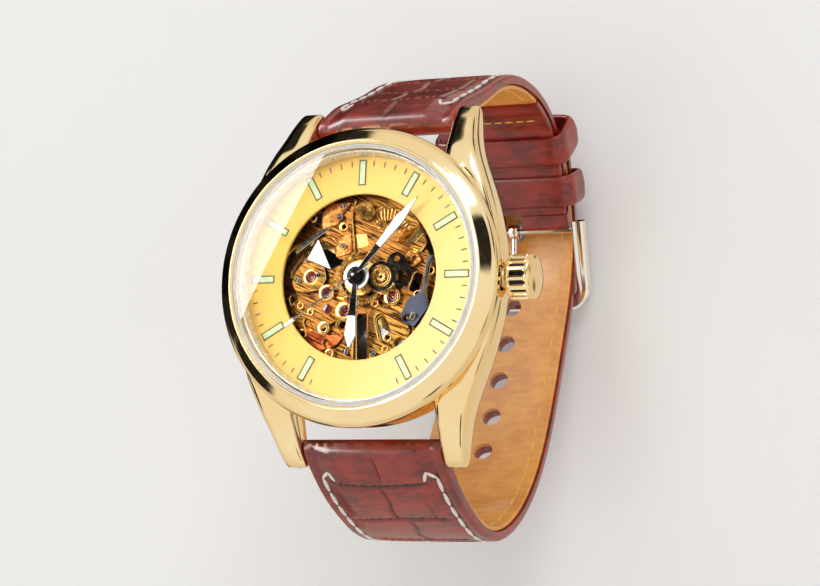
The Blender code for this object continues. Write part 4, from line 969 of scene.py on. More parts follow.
def make_hand(kind, body, stations, split, hub_r, bore_r, level, thick=0.14):
    """A framed blade, black up to the split and white past it, with a stepped hub."""
    clock = CLOCK[kind]
    y, half = np.asarray(stations, float).T
    frame_outline = turned(blade(stations), clock)
    plate(
        f"{kind}_hand_frame", frame_outline, STEEL, body, "steel", level, level + thick, chamfer=0.05,
        replaces=f"{kind}_hand",
    )
    rim = 0.13
    for part, low, high, finish, slot in (
        ("base", y[0] + 0.3, split, BLACK_METAL, "black_metal"),
        ("paint", split + 0.02, y[-1] - 0.45, WHITE_LUME, "white_nylon"),
    ):
        reach = np.unique(np.concatenate(([low], y[(y > low) & (y < high)], [high])))
        width = np.maximum(np.interp(reach, y, half) - rim, 0.05)
        outline = turned(blade(np.column_stack((reach, width))), clock)
        plate(
            f"{kind}_hand_{part}", outline, finish, body, slot, level + thick - 0.03,
            level + thick + 0.05, chamfer=0.02,
        )
    top = level + thick
    profile = (
        (bore_r, level), (hub_r, level), (hub_r, top + 0.02), (hub_r - 0.12, top + 0.1),
        (bore_r + 0.12, top + 0.1), (bore_r, top + 0.02),
    )
    lathe(f"{kind}_hand_hub", profile, BLACK_METAL, body, "black_metal", round_off=0.04, sides=64)


def make_seconds_hand():
    """A thin bright needle with a white paddle near its end and a short tail."""
    level = span("seconds_hand")[0][2]
    stations = ((-2.6, 0.13), (-0.3, 0.12), (9.6, 0.075), (10.1, 0.27), (11.5, 0.27), (12.1, 0.0))
    clock = CLOCK["seconds"]
    plate(
        "seconds_needle", turned(blade(stations), clock), STEEL, "seconds", "steel", level,
        level + 0.12, chamfer=0.04, replaces="seconds_hand",
    )
    paddle = turned(blade(((10.2, 0.2), (11.45, 0.2), (11.8, 0.04))), clock)
    plate(
        "seconds_paint", paddle, WHITE_LUME, "seconds", "white_nylon", level + 0.09, level + 0.16,
        chamfer=0.02,
    )
    profile = (
        (0, level), (0.62, level), (0.62, level + 0.16), (0.45, level + 0.3), (0.22, level + 0.32),
        (0, level + 0.3),
    )
    lathe("seconds_hub", profile, BLACK_METAL, "seconds", "black_metal", round_off=0.05, sides=64)
    profile = (
        (0, level + 0.25), (0.2, level + 0.25), (0.2, level + 0.37), (0.12, level + 0.4),
        (0, level + 0.4),
    )
    lathe("seconds_pipe", profile, SILVER, "seconds", "steel", sides=48)


make_hand(
    "hour", "hours", ((0.7, 0.3), (2.2, 0.42), (5.4, 0.66), (7.8, 0.92), (9.9, 0.0)), 5.3, 1.25, 0.84,
    span("hour_hand")[0][2],
)
make_hand(
    "minute", "minutes", ((0.5, 0.26), (2.2, 0.34), (5.0, 0.5), (9.6, 0.74), (13.45, 0.0)), 5.0, 0.95,
    0.5, span("minute_hand")[0][2],
)
make_seconds_hand()
print("hands at", {kind: round(angle, 1) for kind, angle in CLOCK.items()})

# %% [markdown]
# # Crown
# The crown is a short barrel with a domed end and deep flutes, so that a thumb can turn it. The radius
# is a function of the angle and of the distance along the stem: flutes are a flattened cosine round
# the barrel, and they fade out before the dome.

# %% Fluted crown
CROWN_LOW, CROWN_HIGH = span("crown")
CROWN_R = 3.0
CROWN_FLUTES = 14


def make_crown():
    """radius(a, s) = barrel(s) - depth * flute(a) * fade(s), wrapped about the stem's axis, over a black
    core of painted shade that shows in the flutes."""
    start, length = CROWN_LOW[0], CROWN_HIGH[0] - CROWN_LOW[0]
    s = np.concatenate((np.linspace(0, 0.76, 26), np.linspace(0.77, 1, 26)))
    barrel = CROWN_R * np.interp(s, (0, 0.03, 0.08, 0.72, 0.8), (0.93, 0.975, 1, 1, 0.985))
    dome = s > 0.8
    barrel = np.where(dome, CROWN_R * 0.985 * np.sqrt(np.clip(1 - ((s - 0.8) / 0.2) ** 2.2, 0, 1)), barrel)
    a = np.linspace(0, TURN, 16 * CROWN_FLUTES, endpoint=False)
    wave = np.cos(CROWN_FLUTES * a)
    flute = smooth(0.5 - 1.4 * wave)
    fade = np.interp(s, (0, 0.1, 0.16, 0.66, 0.76), (0, 0, 1, 1, 0))
    radius = barrel[:, None] - 0.42 * flute[None, :] * fade[:, None]
    x = start + length * s[:, None] + 0 * a[None, :]
    points = np.stack((x, radius * np.cos(a), STEM_Z + radius * np.sin(a)), -1)
    bore = np.stack((np.full_like(a, start), 1.9 * np.cos(a), STEM_Z + 1.9 * np.sin(a)), -1)
    well = bore + (1.05, 0, 0)
    points = np.concatenate((well[None], bore[None], points))
    rows, columns = points.shape[:2]
    faces = tube_faces(rows, columns, far_cap=False)
    put(
        "crown_cap", points.reshape(-1, 3), faces, GOLD, "crown", "polished_gold", replaces="crown",
        sharp=40,
    )
    # painted shade: a black cylinder just above the flutes' floor, so that each flute reads as a dark line
    groove_shade = ((2.3, 0.1 * length), (2.66, 0.12 * length), (2.66, 0.68 * length), (2.3, 0.7 * length))
    at = (start, 0, STEM_Z)
    lathe("flute_tarnish", groove_shade, BLACK_METAL, "crown", "black_metal", at=at, axis="x", sides=96)


make_crown()
print("crown with", CROWN_FLUTES, "flutes")

# %% [markdown]
# # Leather strap
# Each half is a padded band of embossed calf: raised scales with creases between them, a flat border
# that is stitched down with white thread, and a tan lining behind it. The band is a grid of points:
# one parameter runs along the strap's route in the side view, and the other goes round the section.
# The height above the route is a crown, less a stitching groove, less the creases of the emboss, so
# the creases are real valleys that the light finds, and the fine pores are left to the finish.

# %% Leather finishes
def leather(name, light, dark, rough, grain=1500.0):
    """Glazed leather: mottled dye, painted shade that darkens the creases, pores as a cell pattern and a
    waxy coat."""
    made, n, shader = new_finish(name, Coat_Weight=0.5, Coat_Roughness=0.2, Specular_IOR_Level=0.5)
    place = n.add("TexCoord").outputs["Object"]
    mottle = n.add("TexNoise", Vector=place, Scale=170.0, Detail=5.0, Roughness=0.65)
    streak = n.add(
        "TexNoise", Vector=n.add("Mapping", Vector=place, Scale=(1.0, 3.0, 3.0)).outputs[0],
        Scale=420.0, Detail=3.0,
    )
    crease_shade = n.add("Attribute", {"attribute_name": "crease_shade"}).outputs["Fac"]
    share = n.math("MULTIPLY_ADD", streak.outputs[0], 0.35, n.math("MULTIPLY", mottle.outputs[0], 0.65))
    dye = n.mix(n.between(share, 0.36, 0.62), (*dark, 1), (*light, 1))
    # painted shade: where the emboss is deep, the colour falls towards a quarter of the dark dye
    deep = n.mix(n.between(crease_shade, 0.15, 0.9), dye, (*(0.25 * np.array(dark)), 1))
    n.set(shader, "Base_Color", deep)
    pores = n.add("TexVoronoi", {"feature": "DISTANCE_TO_EDGE"}, Vector=place, Scale=grain)
    skin = n.math("MULTIPLY_ADD", mottle.outputs[0], 0.5, n.between(pores.outputs[0], 0.0, 0.12, 0.0, 0.5))
    n.set(shader, "Roughness", n.between(mottle.outputs[0], 0.3, 0.7, *rough))
    bump(n, shader, skin, 0.22, 0.00006)
    return made


LEATHER = leather("glazed_red_leather", (0.35, 0.020, 0.008), (0.12, 0.005, 0.003), (0.32, 0.46))
LINING = leather("tan_lining", (0.90, 0.41, 0.07), (0.72, 0.28, 0.035), (0.5, 0.62), grain=2600.0)
THREAD = plain("white_thread", (0.88, 0.84, 0.78), (0.70, 0.66, 0.58), 0.6, 0.8, scale=3000.0, height=0.5)
YELLOW_THREAD = plain(
    "yellow_thread", (0.95, 0.62, 0.12), (0.8, 0.45, 0.06), 0.6, 0.8, scale=3000.0, height=0.5,
)

# %% The route of each half, as (y, z) points of its mid thickness
TAIL_ROUTE = (
    (-21.2, 3.3), (-22.4, 2.0), (-25.0, -0.9), (-27.4, -4.4), (-29.4, -8.6), (-31.1, -13.5), (-31.5, -18.4),
    (-30.6, -22.9), (-28.6, -27.2), (-25.8, -31.1), (-22.2, -34.6), (-18.2, -37.4), (-14.0, -39.7),
    (-9.0, -41.9), (-3.0, -44.3), (2.6, -46.4), (6.2, -47.6), (9.5, -48.4), (13.5, -48.9),
    (17.5, -48.5), (21.0, -47.45), (24.3, -46.05), (27.6, -44.3), (30.6, -42.0), (33.0, -39.1),
)
BUCKLE_PIN = (16.5, -46.2)
BUCKLE_ROUTE = (
    (21.3, 3.4), (22.4, 2.0), (24.9, -1.4), (26.8, -5.4), (28.8, -9.7), (31.0, -13.9), (32.6, -18.0),
    (33.5, -22.4), (33.7, -26.6), (33.3, -30.8), (32.0, -35.2), (29.6, -39.1), (26.6, -41.8),
    (23.2, -43.7), (19.8, -45.1), BUCKLE_PIN,
)
ROW_STEP = 0.3
PAD_THICK, FLAT_THICK, PAD_RUN = 3.9, 2.2, 22.0
TIP_RUN, TIP_TAPER = 7.5, 0.80  # the tail narrows to its point over this length
STITCH_PITCH, STITCH_LONG, STITCH_R = 3.0, 2.45, 0.30
INNER_STITCH_LONG, INNER_STITCH_R, INNER_STITCH_IN = 2.5, 0.14, 0.3
LUG_WIDTH, END_WIDTH = 20.0, 18.0
BORDER = 1.6  # from the strap's edge to its stitching
LINING_THICK = 0.7
FOLD_START_Z = -30.0  # past this height the buckle half's outer leather is folded back over its lining


class Route:
    """A strap half in the side view: points, outward normals, thickness, width, and how far its stitched
    border lies below the top of its padding, at even steps."""

    def __init__(self, points, step=ROW_STEP):
        self.at, self.s = spline(points, step)
        along = np.gradient(self.at, axis=0)
        self.along = along / np.linalg.norm(along, axis=1)[:, None]
        self.out = np.column_stack((self.along[:, 1], -self.along[:, 0]))
        if np.median(np.sum(self.out * (self.at - (0, -22)), axis=1)) < 0:
            self.out = -self.out
        self.length = self.s[-1]
        self.thick = FLAT_THICK + (PAD_THICK - FLAT_THICK) * np.clip(1 - self.s / PAD_RUN, 0, 1) ** 1.3
        self.width = LUG_WIDTH + (END_WIDTH - LUG_WIDTH) * np.minimum(1, self.s / (0.8 * self.length))
        self.drop = 0.12 + 0.50 * smooth((26 - self.s) / 24)

    def place(self, row, x, height):
        """Points at a row's place, across the strap and up its outward normal."""
        flat = self.at[row][..., None, :] + np.asarray(height)[..., None] * self.out[row][..., None, :]
        return np.concatenate((np.broadcast_to(x, flat.shape[:-1])[..., None], flat), -1)

    def row_at(self, s):
        return np.clip(np.round(np.asarray(s) / (self.s[1] - self.s[0])).astype(int), 0, len(self.s) - 1)


def scales(s, x, half, seed):
    """Depth of the emboss: valleys across the strap every scale, wandering a little, one valley down the
    middle of each row and fainter ones at its sides, and short puckers that cross each valley."""
    rng = np.random.default_rng(seed)
    depth = np.zeros(np.broadcast(s, x).shape)
    start = 6.2
    while start < s.max() + 8:
        pitch = rng.uniform(6.6, 8.4)
        bend, lean, middle = rng.uniform(-0.5, 0.5), rng.uniform(-0.05, 0.05), rng.uniform(-0.9, 0.9)
        line = start + bend * np.cos(x * 0.33 + rng.uniform(0, 6)) + lean * x
        off = s - line
        fade = 1 - smooth((np.abs(x) - (half - BORDER - 2.2)) / 1.2) * 0.85
        depth += 0.42 * np.exp(-((off / 0.30) ** 2)) * fade
        depth += 0.06 * np.sin(
            x * 5.2 + rng.uniform(0, 6) + 1.5 * np.sin(x * 1.3)
        ) * np.exp(-((off / 0.9) ** 2)) * fade
        inside = smooth((s - line) / 0.7) * smooth((line + pitch - s) / 0.7)
        depth += 0.30 * np.exp(-(((x - middle - 0.25 * np.sin(s * 0.9)) / 0.24) ** 2)) * inside
        for side in (-1, 1):
            depth += 0.12 * np.exp(
                -(((x - side * rng.uniform(5.2, 6.4)) / 0.3) ** 2)
            ) * inside * rng.uniform(0.2, 1.0)
        start += pitch
    first = smooth((6.0 - s) / 0.7) * smooth((s - 0.6) / 0.8)
    return depth + 0.26 * np.exp(-(((x - 0.2) / 0.22) ** 2)) * first


def band_section(half, columns=121):
    """Places across the strap, closer together at its edges, from one edge to the other."""
    return half * np.sin(
        np.linspace(-np.pi / 2, np.pi / 2, columns)
    ) * 0.5 + half * np.linspace(-0.5, 0.5, columns)


def make_band(name, route, seed, slim_end, round_end):
    """The leather body. Height = edge + crown(x) - groove(x) - emboss(s, x), eased over the edges; both
    ends of the thickness close as the root of 1 - t^2."""
    s, half = route.s[:, None], route.width[:, None] / 2
    if slim_end:
        run = np.clip((s - (route.length - TIP_RUN)) / TIP_RUN, 0, 1)
        half = half * np.sqrt(1 - TIP_TAPER * run**2.2)
    x = band_section(1.0)[None, :] * half
    edge = half - np.abs(x)
    thick = route.thick[:, None]
    pad = route.drop[:, None]
    height = thick / 2 - pad + pad * smooth((edge - BORDER) / 2.6)
    height = height - 0.16 * np.exp(-(((edge - BORDER) / 0.38) ** 2))
    depth = scales(s, x, half, seed) * smooth((edge - BORDER - 0.2) / 0.8)
    height = height - depth
    ease = 0.55
    over = np.clip(ease - edge, 0, ease)
    height = height - (ease - np.sqrt(ease**2 - over**2))
    start_round = np.sqrt(1 - np.clip(1 - s / 1.9, 0, 1) ** 2)
    end_round = np.sqrt(1 - np.clip((s - (route.length - round_end)) / round_end, 0, 1) ** 2)
    close = np.minimum(start_round, end_round)
    lined = np.clip(np.minimum((s - 4.0) / 0.6, (route.length - 2.6 - s) / 0.6), 0, 1)
    below = -thick / 2 + (LINING_THICK + 0.04) * lined
    under = np.broadcast_to(below, x.shape)[:, ::-4]
    rows = np.arange(len(route.s))
    top = route.place(rows, x, height * close)
    bottom = route.place(rows, x[:, ::-4], under * close)
    points = np.concatenate((top, bottom), axis=1)
    # the emboss depth, kept as a mark for the painted shade in the creases
    crease_shade = np.concatenate((np.clip(depth / 0.4, 0, 1), np.zeros(under.shape)), axis=1)
    rows, columns = points.shape[:2]
    piece = put(
        name, points.reshape(-1, 3), tube_faces(rows, columns), LEATHER, "case", "strap_leather",
        sharp=70, marks={"crease_shade": crease_shade.ravel()},
    )
    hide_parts(name.replace("_leather", ""))
    return piece


def make_slab(name, route, low, high, margin, outer, inner, finish, slot, wrinkle=0.0):
    """A thin lining between two distances along the route, with eased edges."""
    rows = np.arange(*route.row_at((low, high)), 2)
    s = route.s[rows][:, None]
    half = route.width[rows][:, None] / 2 - margin
    u = np.linspace(0, TURN, 56, endpoint=False)[None, :]
    across, rise = signed_power(np.cos(u), 0.18), signed_power(np.sin(u), 0.18)
    centre, reach = (outer + inner) / 2, (outer - inner) / 2
    base = -route.thick[rows][:, None] / 2
    waves = wrinkle * np.sin(s * 1.9 + 0.6 * np.sin(across * 3)) * np.where(rise < 0, 1, 0)
    points = route.place(rows, half * across, base + centre + reach * rise + waves)
    return put(name, points.reshape(-1, 3), tube_faces(*points.shape[:2]), finish, "case", slot, sharp=45)


def capsules(starts, ends, radius, up, flat=0.8, rings=7, sides=8):
    """Many short round-ended rods at once: radius times the root of sin along each, flattened towards
    up."""
    starts, ends, up = (np.asarray(a, float) for a in (starts, ends, up))
    t = np.linspace(0, 1, rings)
    axis = ends - starts
    side = np.cross(axis, up)
    side /= np.linalg.norm(side, axis=1)[:, None]
    lift = np.cross(side, axis)
    lift /= np.linalg.norm(lift, axis=1)[:, None]
    a = np.linspace(0, TURN, sides, endpoint=False)
    swell = radius * np.sin(np.pi * np.clip(t, 0.04, 0.96)) ** 0.4
    centre = starts[:, None] + t[None, :, None] * axis[:, None]
    ring = np.cos(a)[
        None, None, :, None,
    ] * side[:, None, None] + flat * np.sin(a)[None, None, :, None] * lift[:, None, None]
    points = centre[:, :, None] + swell[None, :, None, None] * ring
    one = tube_faces(rings, sides)
    return points.reshape(-1, 3), [
        [c + k * rings * sides for c in face] for k in range(len(starts)) for face in one
    ]


def stitch_line(route, low, high, length, inset_by, height, radius):
    """Stitches along both edges between two distances, at the height that is given for each of the
    route's rows."""
    s = np.arange(low, high, STITCH_PITCH)
    first, last = route.row_at(s), route.row_at(s + length)
    edge, line = route.width / 2 - inset_by, route.at + height[:, None] * route.out
    starts, ends, ups = [], [], []
    for side in (-1, 1):
        starts.append(np.column_stack((side * edge[first], line[first])))
        ends.append(np.column_stack((side * edge[last], line[last])))
        ups.append(np.column_stack((0 * s, route.out[first])))
    return capsules(np.concatenate(starts), np.concatenate(ends), radius, np.concatenate(ups))


def hook_stitches(route, low, height):
    """Two stitches at each edge that turn the line inwards beside the lugs: across, and then back."""
    a, b, c = (route.row_at(low + move) for move in (-0.2, -1.3, 0.3))
    edge = route.width[a] / 2 - BORDER
    starts, ends = [], []
    for side in (-1, 1):
        bend = (side * (edge - 1.25), *(route.at[b] + (height[b] + 0.3) * route.out[b]))
        starts += [(side * edge, *(route.at[a] + height[a] * route.out[a])), bend]
        ends += [bend, (side * (edge - 1.85), *(route.at[c] + (height[c] + 0.42) * route.out[c]))]
    return capsules(starts, ends, 0.27, np.tile((0, *route.out[a]), (4, 1)))


def punch(piece, cutters_points, cutters_faces, name):
    """Cuts one mesh of closed cutters out of a piece, and keeps the cut mesh."""
    mesh = bpy.data.meshes.new(name)
    mesh.from_pydata((cutters_points * MM).tolist(), [], cutters_faces)
    bm = bmesh.new()
    bm.from_mesh(mesh)
    bmesh.ops.recalc_face_normals(bm, faces=bm.faces)
    bm.to_mesh(mesh)
    bm.free()
    cutter = bpy.data.objects.new(name, mesh)
    bpy.context.scene.collection.objects.link(cutter)
    cut = piece.modifiers.new("punch", "BOOLEAN")
    cut.operation, cut.solver, cut.object = "DIFFERENCE", "MANIFOLD", cutter
    bpy.context.view_layer.update()
    made = bpy.data.meshes.new_from_object(piece.evaluated_get(bpy.context.evaluated_depsgraph_get()))
    piece.modifiers.clear()
    old = piece.data
    piece.data = made
    bpy.data.meshes.remove(old)
    bpy.data.objects.remove(cutter)


HOLE_R, HOLE_PITCH, HOLES_BEFORE, HOLES_AFTER, TONGUE_HOLE_Y = 1.45, 6.3, 5, 1, 10.65
BUCKLED_HOLE_STRETCH = 1.7  # the hole in use has been pulled long, which leaves the tongue room to swing out


def hole_cutters(route):
    """Round punches through the tail, counted from the hole that the tongue is in."""
    far = route.s > 0.5 * route.length
    buckled = route.s[np.argmin(np.where(far, np.abs(route.at[:, 0] - TONGUE_HOLE_Y), 99))]
    parts = []
    for number in range(-HOLES_BEFORE, HOLES_AFTER + 1):
        row = route.row_at(buckled + number * HOLE_PITCH)
        out = np.array((0, *route.out[row]))
        centre = np.array((0, *route.at[row]))
        side, along = np.array((1.0, 0, 0)), np.cross(out, (1.0, 0, 0))
        a = np.linspace(0, TURN, 40, endpoint=False)[:, None]
        stretch = BUCKLED_HOLE_STRETCH if number == 0 else 1.0
        ring = HOLE_R * (np.cos(a) * side + stretch * np.sin(a) * along)
        points = np.concatenate((centre - 4 * out + ring, centre + 4 * out + ring))
        parts.append((points, tube_faces(2, 40)))
    return many(parts)


def make_strap():
    tail, buckle = Route(TAIL_ROUTE), Route(BUCKLE_ROUTE)
    fold = buckle.s[np.argmax(buckle.at[:, 1] < FOLD_START_Z)]
    tail_leather = make_band("strap_tail_leather", tail, 5, True, 1.0)
    buckle_leather = make_band("strap_buckle_leather", buckle, 11, False, 1.1)
    tail_lining = make_slab(
        "tail_lining", tail, 4.4, tail.length - 3.2, 0.35, LINING_THICK, 0.0, LINING, "strap_lining",
    )
    buckle_lining = make_slab(
        "buckle_lining", buckle, 4.4, fold + 1.0, 0.35, LINING_THICK, 0.0, LINING, "strap_lining",
    )
    make_slab(
        "folded_flap", buckle, fold, buckle.length - 2.4, 0.15, LINING_THICK - 0.1, -0.55, LEATHER,
        "strap_leather", 0.07,
    )
    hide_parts("strap_tail_lining")
    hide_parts("strap_buckle_lining")
    holes = hole_cutters(tail)
    for number, piece in enumerate((tail_leather, tail_lining)):
        punch(piece, *holes, f"hole_punch_{number}")
    pin = np.array(BUCKLE_PIN)
    inward = -buckle.along[-1]
    corners = [pin + a * inward + b * buckle.out[-1] for a, b in ((2.6, 3), (2.6, -3), (-3, -3), (-3, 3))]
    box_points = np.array([(x, *c) for x in (-1.75, 1.75) for c in corners])
    punch(buckle_leather, box_points, tube_faces(2, 4), "tongue_notch")
    for name, route, low, high in (
        ("tail_stitches", tail, 5.2, tail.length - 9.0),
        ("buckle_stitches", buckle, 5.2, buckle.length - 4.5),
    ):
        height = route.thick / 2 - route.drop + 0.02
        line = stitch_line(route, low, high, STITCH_LONG, BORDER, height, STITCH_R)
        put(name, *many((line, hook_stitches(route, low, height))), THREAD, "case", "white_nylon", sharp=80)
    for name, route, low, high in (
        ("tail_inner_stitches", tail, 6.0, tail.length - 9.0),
        ("buckle_inner_stitches", buckle, 6.0, fold - 1),
    ):
        line = stitch_line(
            route, low, high, INNER_STITCH_LONG, BORDER + INNER_STITCH_IN, -route.thick / 2, INNER_STITCH_R
        )
        put(name, *line, YELLOW_THREAD, "case", "strap_lining", sharp=80)
    row = buckle.row_at(fold + 4.6)
    x = np.arange(-7.6, 7.6, 1.7)
    base = buckle.at[row] + (-buckle.thick[row] / 2 - 0.62) * buckle.out[row]
    starts = np.column_stack((x, np.tile(base, (len(x), 1))))
    line = capsules(starts, starts + (1.25, 0, 0), 0.15, np.tile((0, *buckle.out[row]), (len(x), 1)))
    put("flap_stitches", *line, YELLOW_THREAD, "case", "strap_lining", sharp=80)
    print("strap", round(tail.length, 1), "and", round(buckle.length, 1), "mm; fold at", round(fold, 1))
    return buckle


BUCKLE = make_strap()

# %% [markdown]
# # Keepers and buckle
# A keeper is a loop of the same leather round both layers: a rounded-rectangle section carried round a
# larger rounded rectangle, swollen along its middle. The buckle is a bright frame on a pin, with a
# tongue that goes through a hole. Both are sections carried along a path.

# %% Loops and swept bars
KEEPER_LONG, KEEPER_THICK = 4.6, 1.0


def make_keeper(name, body, centre_y, free, swell):
    """C(a) is a superellipse round both layers; the section is added along its outward normal."""
    far = BUCKLE.s > 0.5 * BUCKLE.length
    row = np.argmin(np.where(far, np.abs(BUCKLE.at[:, 0] - centre_y), 99))
    point, out = BUCKLE.at[row], BUCKLE.out[row]
    along = np.array((out[1], -out[0]))
    low, high = -FLAT_THICK / 2 - free, FLAT_THICK * 1.5 + 0.35 + free
    half_x, half_h, mid = END_WIDTH / 2 + 0.5 + KEEPER_THICK / 2, (
        high - low + KEEPER_THICK
    ) / 2, (high + low) / 2
    a = np.linspace(0, TURN, 160, endpoint=False)[:, None]
    b = np.linspace(0, TURN, 24, endpoint=False)[None, :]
    x, h = half_x * signed_power(np.cos(a), 0.22), half_h * signed_power(np.sin(a), 0.34)
    nx, nh = signed_power(np.cos(a), 1.6) / half_x, signed_power(np.sin(a), 1.5) / half_h
    size = np.hypot(nx, nh)
    run = 0.5 * KEEPER_LONG * signed_power(np.cos(b), 0.4)
    rise = 0.5 * KEEPER_THICK * signed_power(np.sin(b), 0.5)
    rise = rise + swell * np.cos(np.pi * run / KEEPER_LONG) * np.clip(np.sin(a), 0, 1) ** 0.5
    x, h = x + nx / size * rise, mid + h + nh / size * rise
    flat = point + h[..., None] * out + (run + 0 * h)[..., None] * along
    points = np.concatenate((x[..., None], flat), -1)
    put(
        name, points.reshape(-1, 3), grid_faces(160, 24, True, True), LEATHER, body, "strap_leather",
        sharp=70, replaces=name.replace("_loop", "_keeper"),
    )


def sweep(points, section, up, taper=None):
    """A closed section carried along a path: point = P + a side + b lift, with lift near the given up."""
    points, section = np.asarray(points, float), np.asarray(section, float)
    tangent = np.gradient(points, axis=0)
    tangent /= np.linalg.norm(tangent, axis=1)[:, None]
    side = np.cross(tangent, up)
    side /= np.linalg.norm(side, axis=1)[:, None]
    lift = np.cross(side, tangent)
    scale = np.ones(len(points)) if taper is None else np.asarray(taper)
    places = points[:, None] + scale[:, None, None] * (
        section[None, :, :1] * side[:, None] + section[None, :, 1:] * lift[:, None]
    )
    return places.reshape(-1, 3), tube_faces(*places.shape[:2])


def oval(width, height, power=0.75, steps=28):
    a = np.linspace(0, TURN, steps, endpoint=False)
    return np.column_stack(
        (width / 2 * signed_power(np.cos(a), power), height / 2 * signed_power(np.sin(a), power))
    )


def make_buckle():
    pin, far = np.array(BUCKLE_PIN), np.array((6.0, -50.2))
    along = (far - pin) / np.linalg.norm(far - pin)
    reach = np.linalg.norm(far - pin)
    out = np.array((along[1], -along[0]))
    out = out if out @ (pin - (0, -22)) > 0 else -out
    half = span("buckle_frame")[1][0] - 1.0
    corner = 2.6
    plan = np.vstack((
        ((-half, -1.4), (-half, reach * 0.5)), arc((-half + corner, reach - corner), corner, 180, 90, 14),
        ((0, reach),), arc(
            (half - corner, reach - corner), corner, 90, 0, 14,
        ), ((half, reach * 0.5), (half, -1.4)),
    ))
    flat = pin + plan[:, 1:] * along
    path = np.column_stack((plan[:, 0], flat))
    points, faces = sweep(spline(path, 0.5)[0], oval(2.0, 1.7, 0.55), (0, *out))
    put("buckle_loop", points, faces, SILVER, "case", "polished_steel", replaces="buckle_frame", sharp=50)
    route = (
        (16.5, -46.2), (15.6, -46.5), (14.0, -46.7), (12.3, -46.85), (11.2, -47.5), (10.4, -48.9),
        (9.4, -50.2), (7.9, -51.25), (5.8, -51.85), (4.4, -51.9),
    )
    middle, s = spline(route, 0.3)
    blade_path = np.column_stack((0 * s, middle))
    taper = np.interp(s / s[-1], (0, 0.75, 0.97, 1), (1, 0.95, 0.7, 0.3))
    parts = [sweep(blade_path, oval(1.5, 0.86, 0.6), (1.0, 0, 0), taper)]
    a = np.linspace(0, TURN, 48, endpoint=False)[:, None]
    profile = np.array(((0.56, -0.7), (1.05, -0.7), (1.15, -0.6), (1.15, 0.6), (1.05, 0.7), (0.56, 0.7)))
    ring = np.stack(
        (profile[:, 1] + 0 * a, pin[0] + profile[:, 0] * np.cos(a), pin[1] + profile[:, 0] * np.sin(a)),
        -1,
    )
    parts.append((ring.reshape(-1, 3), grid_faces(48, len(profile), True, True).tolist()))
    put(
        "buckle_prong", *many(parts), SILVER, "tongue", "polished_steel", replaces="buckle_tongue",
        sharp=50,
    )


make_keeper("fixed_loop", "case", 22.5, 0.25, 0.45)
make_keeper("floating_loop", "loose_keeper", 28.6, 0.6, 0.6)
make_buckle()
print("keepers and buckle")

# %% [markdown]
# # Movement, dial side
# What shows through the dial is a brass plate, brushed in one direction and gilt, in two layers: a base
# with windows to the wheels, and raised pads whose chamfers are polished bright. Pads, bosses, rings
# and levers are flat outlines with chamfered edges, so one tool makes them all from a table. Jewels sit
# in gilt rings, and each screw is a disc with two raised halves that leave a slot between them.

# %% Colours that only the movement has
RUBY = plain("ruby", (0.15, 0.003, 0.003), (0.07, 0.0, 0.002), 0.05, 0.12, Coat_Weight=0.6)
DARK_BRONZE = brushed(
    "dark_bronze", (0.36, 0.15, 0.03), (0.016, 0.006, 0.002), (1.0, 0.60, 0.17), 24, 4600.0, 12.0, 0.8,
)
RED_BRONZE = brushed(
    "red_bronze", (0.52, 0.13, 0.04), (0.05, 0.006, 0.003), (0.95, 0.42, 0.1), 24, 4200.0, 10.0, 0.75,
)
LABEL = plain("blank_label", (0.86, 0.86, 0.84), (0.78, 0.78, 0.76), 0.35, 0.5, scale=1800.0)
BASE_LOW, PLATE_TOP = span("main_plate")[0][2] + 2.2, 7.9
BASE_TOP = 7.5
PLATE_EDGE = 14.0


def centre_of(node):
    """Where a node stands on the plate, as (x, y)."""
    low, high = span(node)
    return (np.array(low[:2]) + np.array(high[:2])) / 2


def ring_sector(at, inner, outer, start, end, steps=24):
    return np.vstack((arc(at, outer, start, end, steps), arc(at, inner, end, start, steps)))


def capsule(start, end, first, last, steps=12):
    """A flat bar with two round ends of their own radii."""
    start, end = np.asarray(start, float), np.asarray(end, float)
    run = math.degrees(math.atan2(*(end - start)[::-1]))
    return np.vstack(
        (arc(start, first, run + 90, run + 270, steps), arc(end, last, run - 90, run + 90, steps))
    )


def screw_mesh(at, low, radius, degrees, height=0.34):
    """A fillister head: a disc, and two halves above it with a slot between them."""
    disc = plate_mesh(circle(at, radius, 28), (), low, low + height * 0.55, 0.02)
    cut_angle = math.degrees(math.asin(0.18))
    halves = [
        plate_mesh(
            arc(at, radius, degrees + side + cut_angle, degrees + side + 180 - cut_angle, 18), (),
            low + height * 0.5, low + height, 0.05,
        )
        for side in (0, 180)
    ]
    return many((disc, *halves))


THIRD, ESCAPE, FORK, BALANCE = (
    centre_of(f"{name}_jewel") for name in ("third", "escape", "fork", "balance")
)
BARREL = centre_of("barrel_arbor")


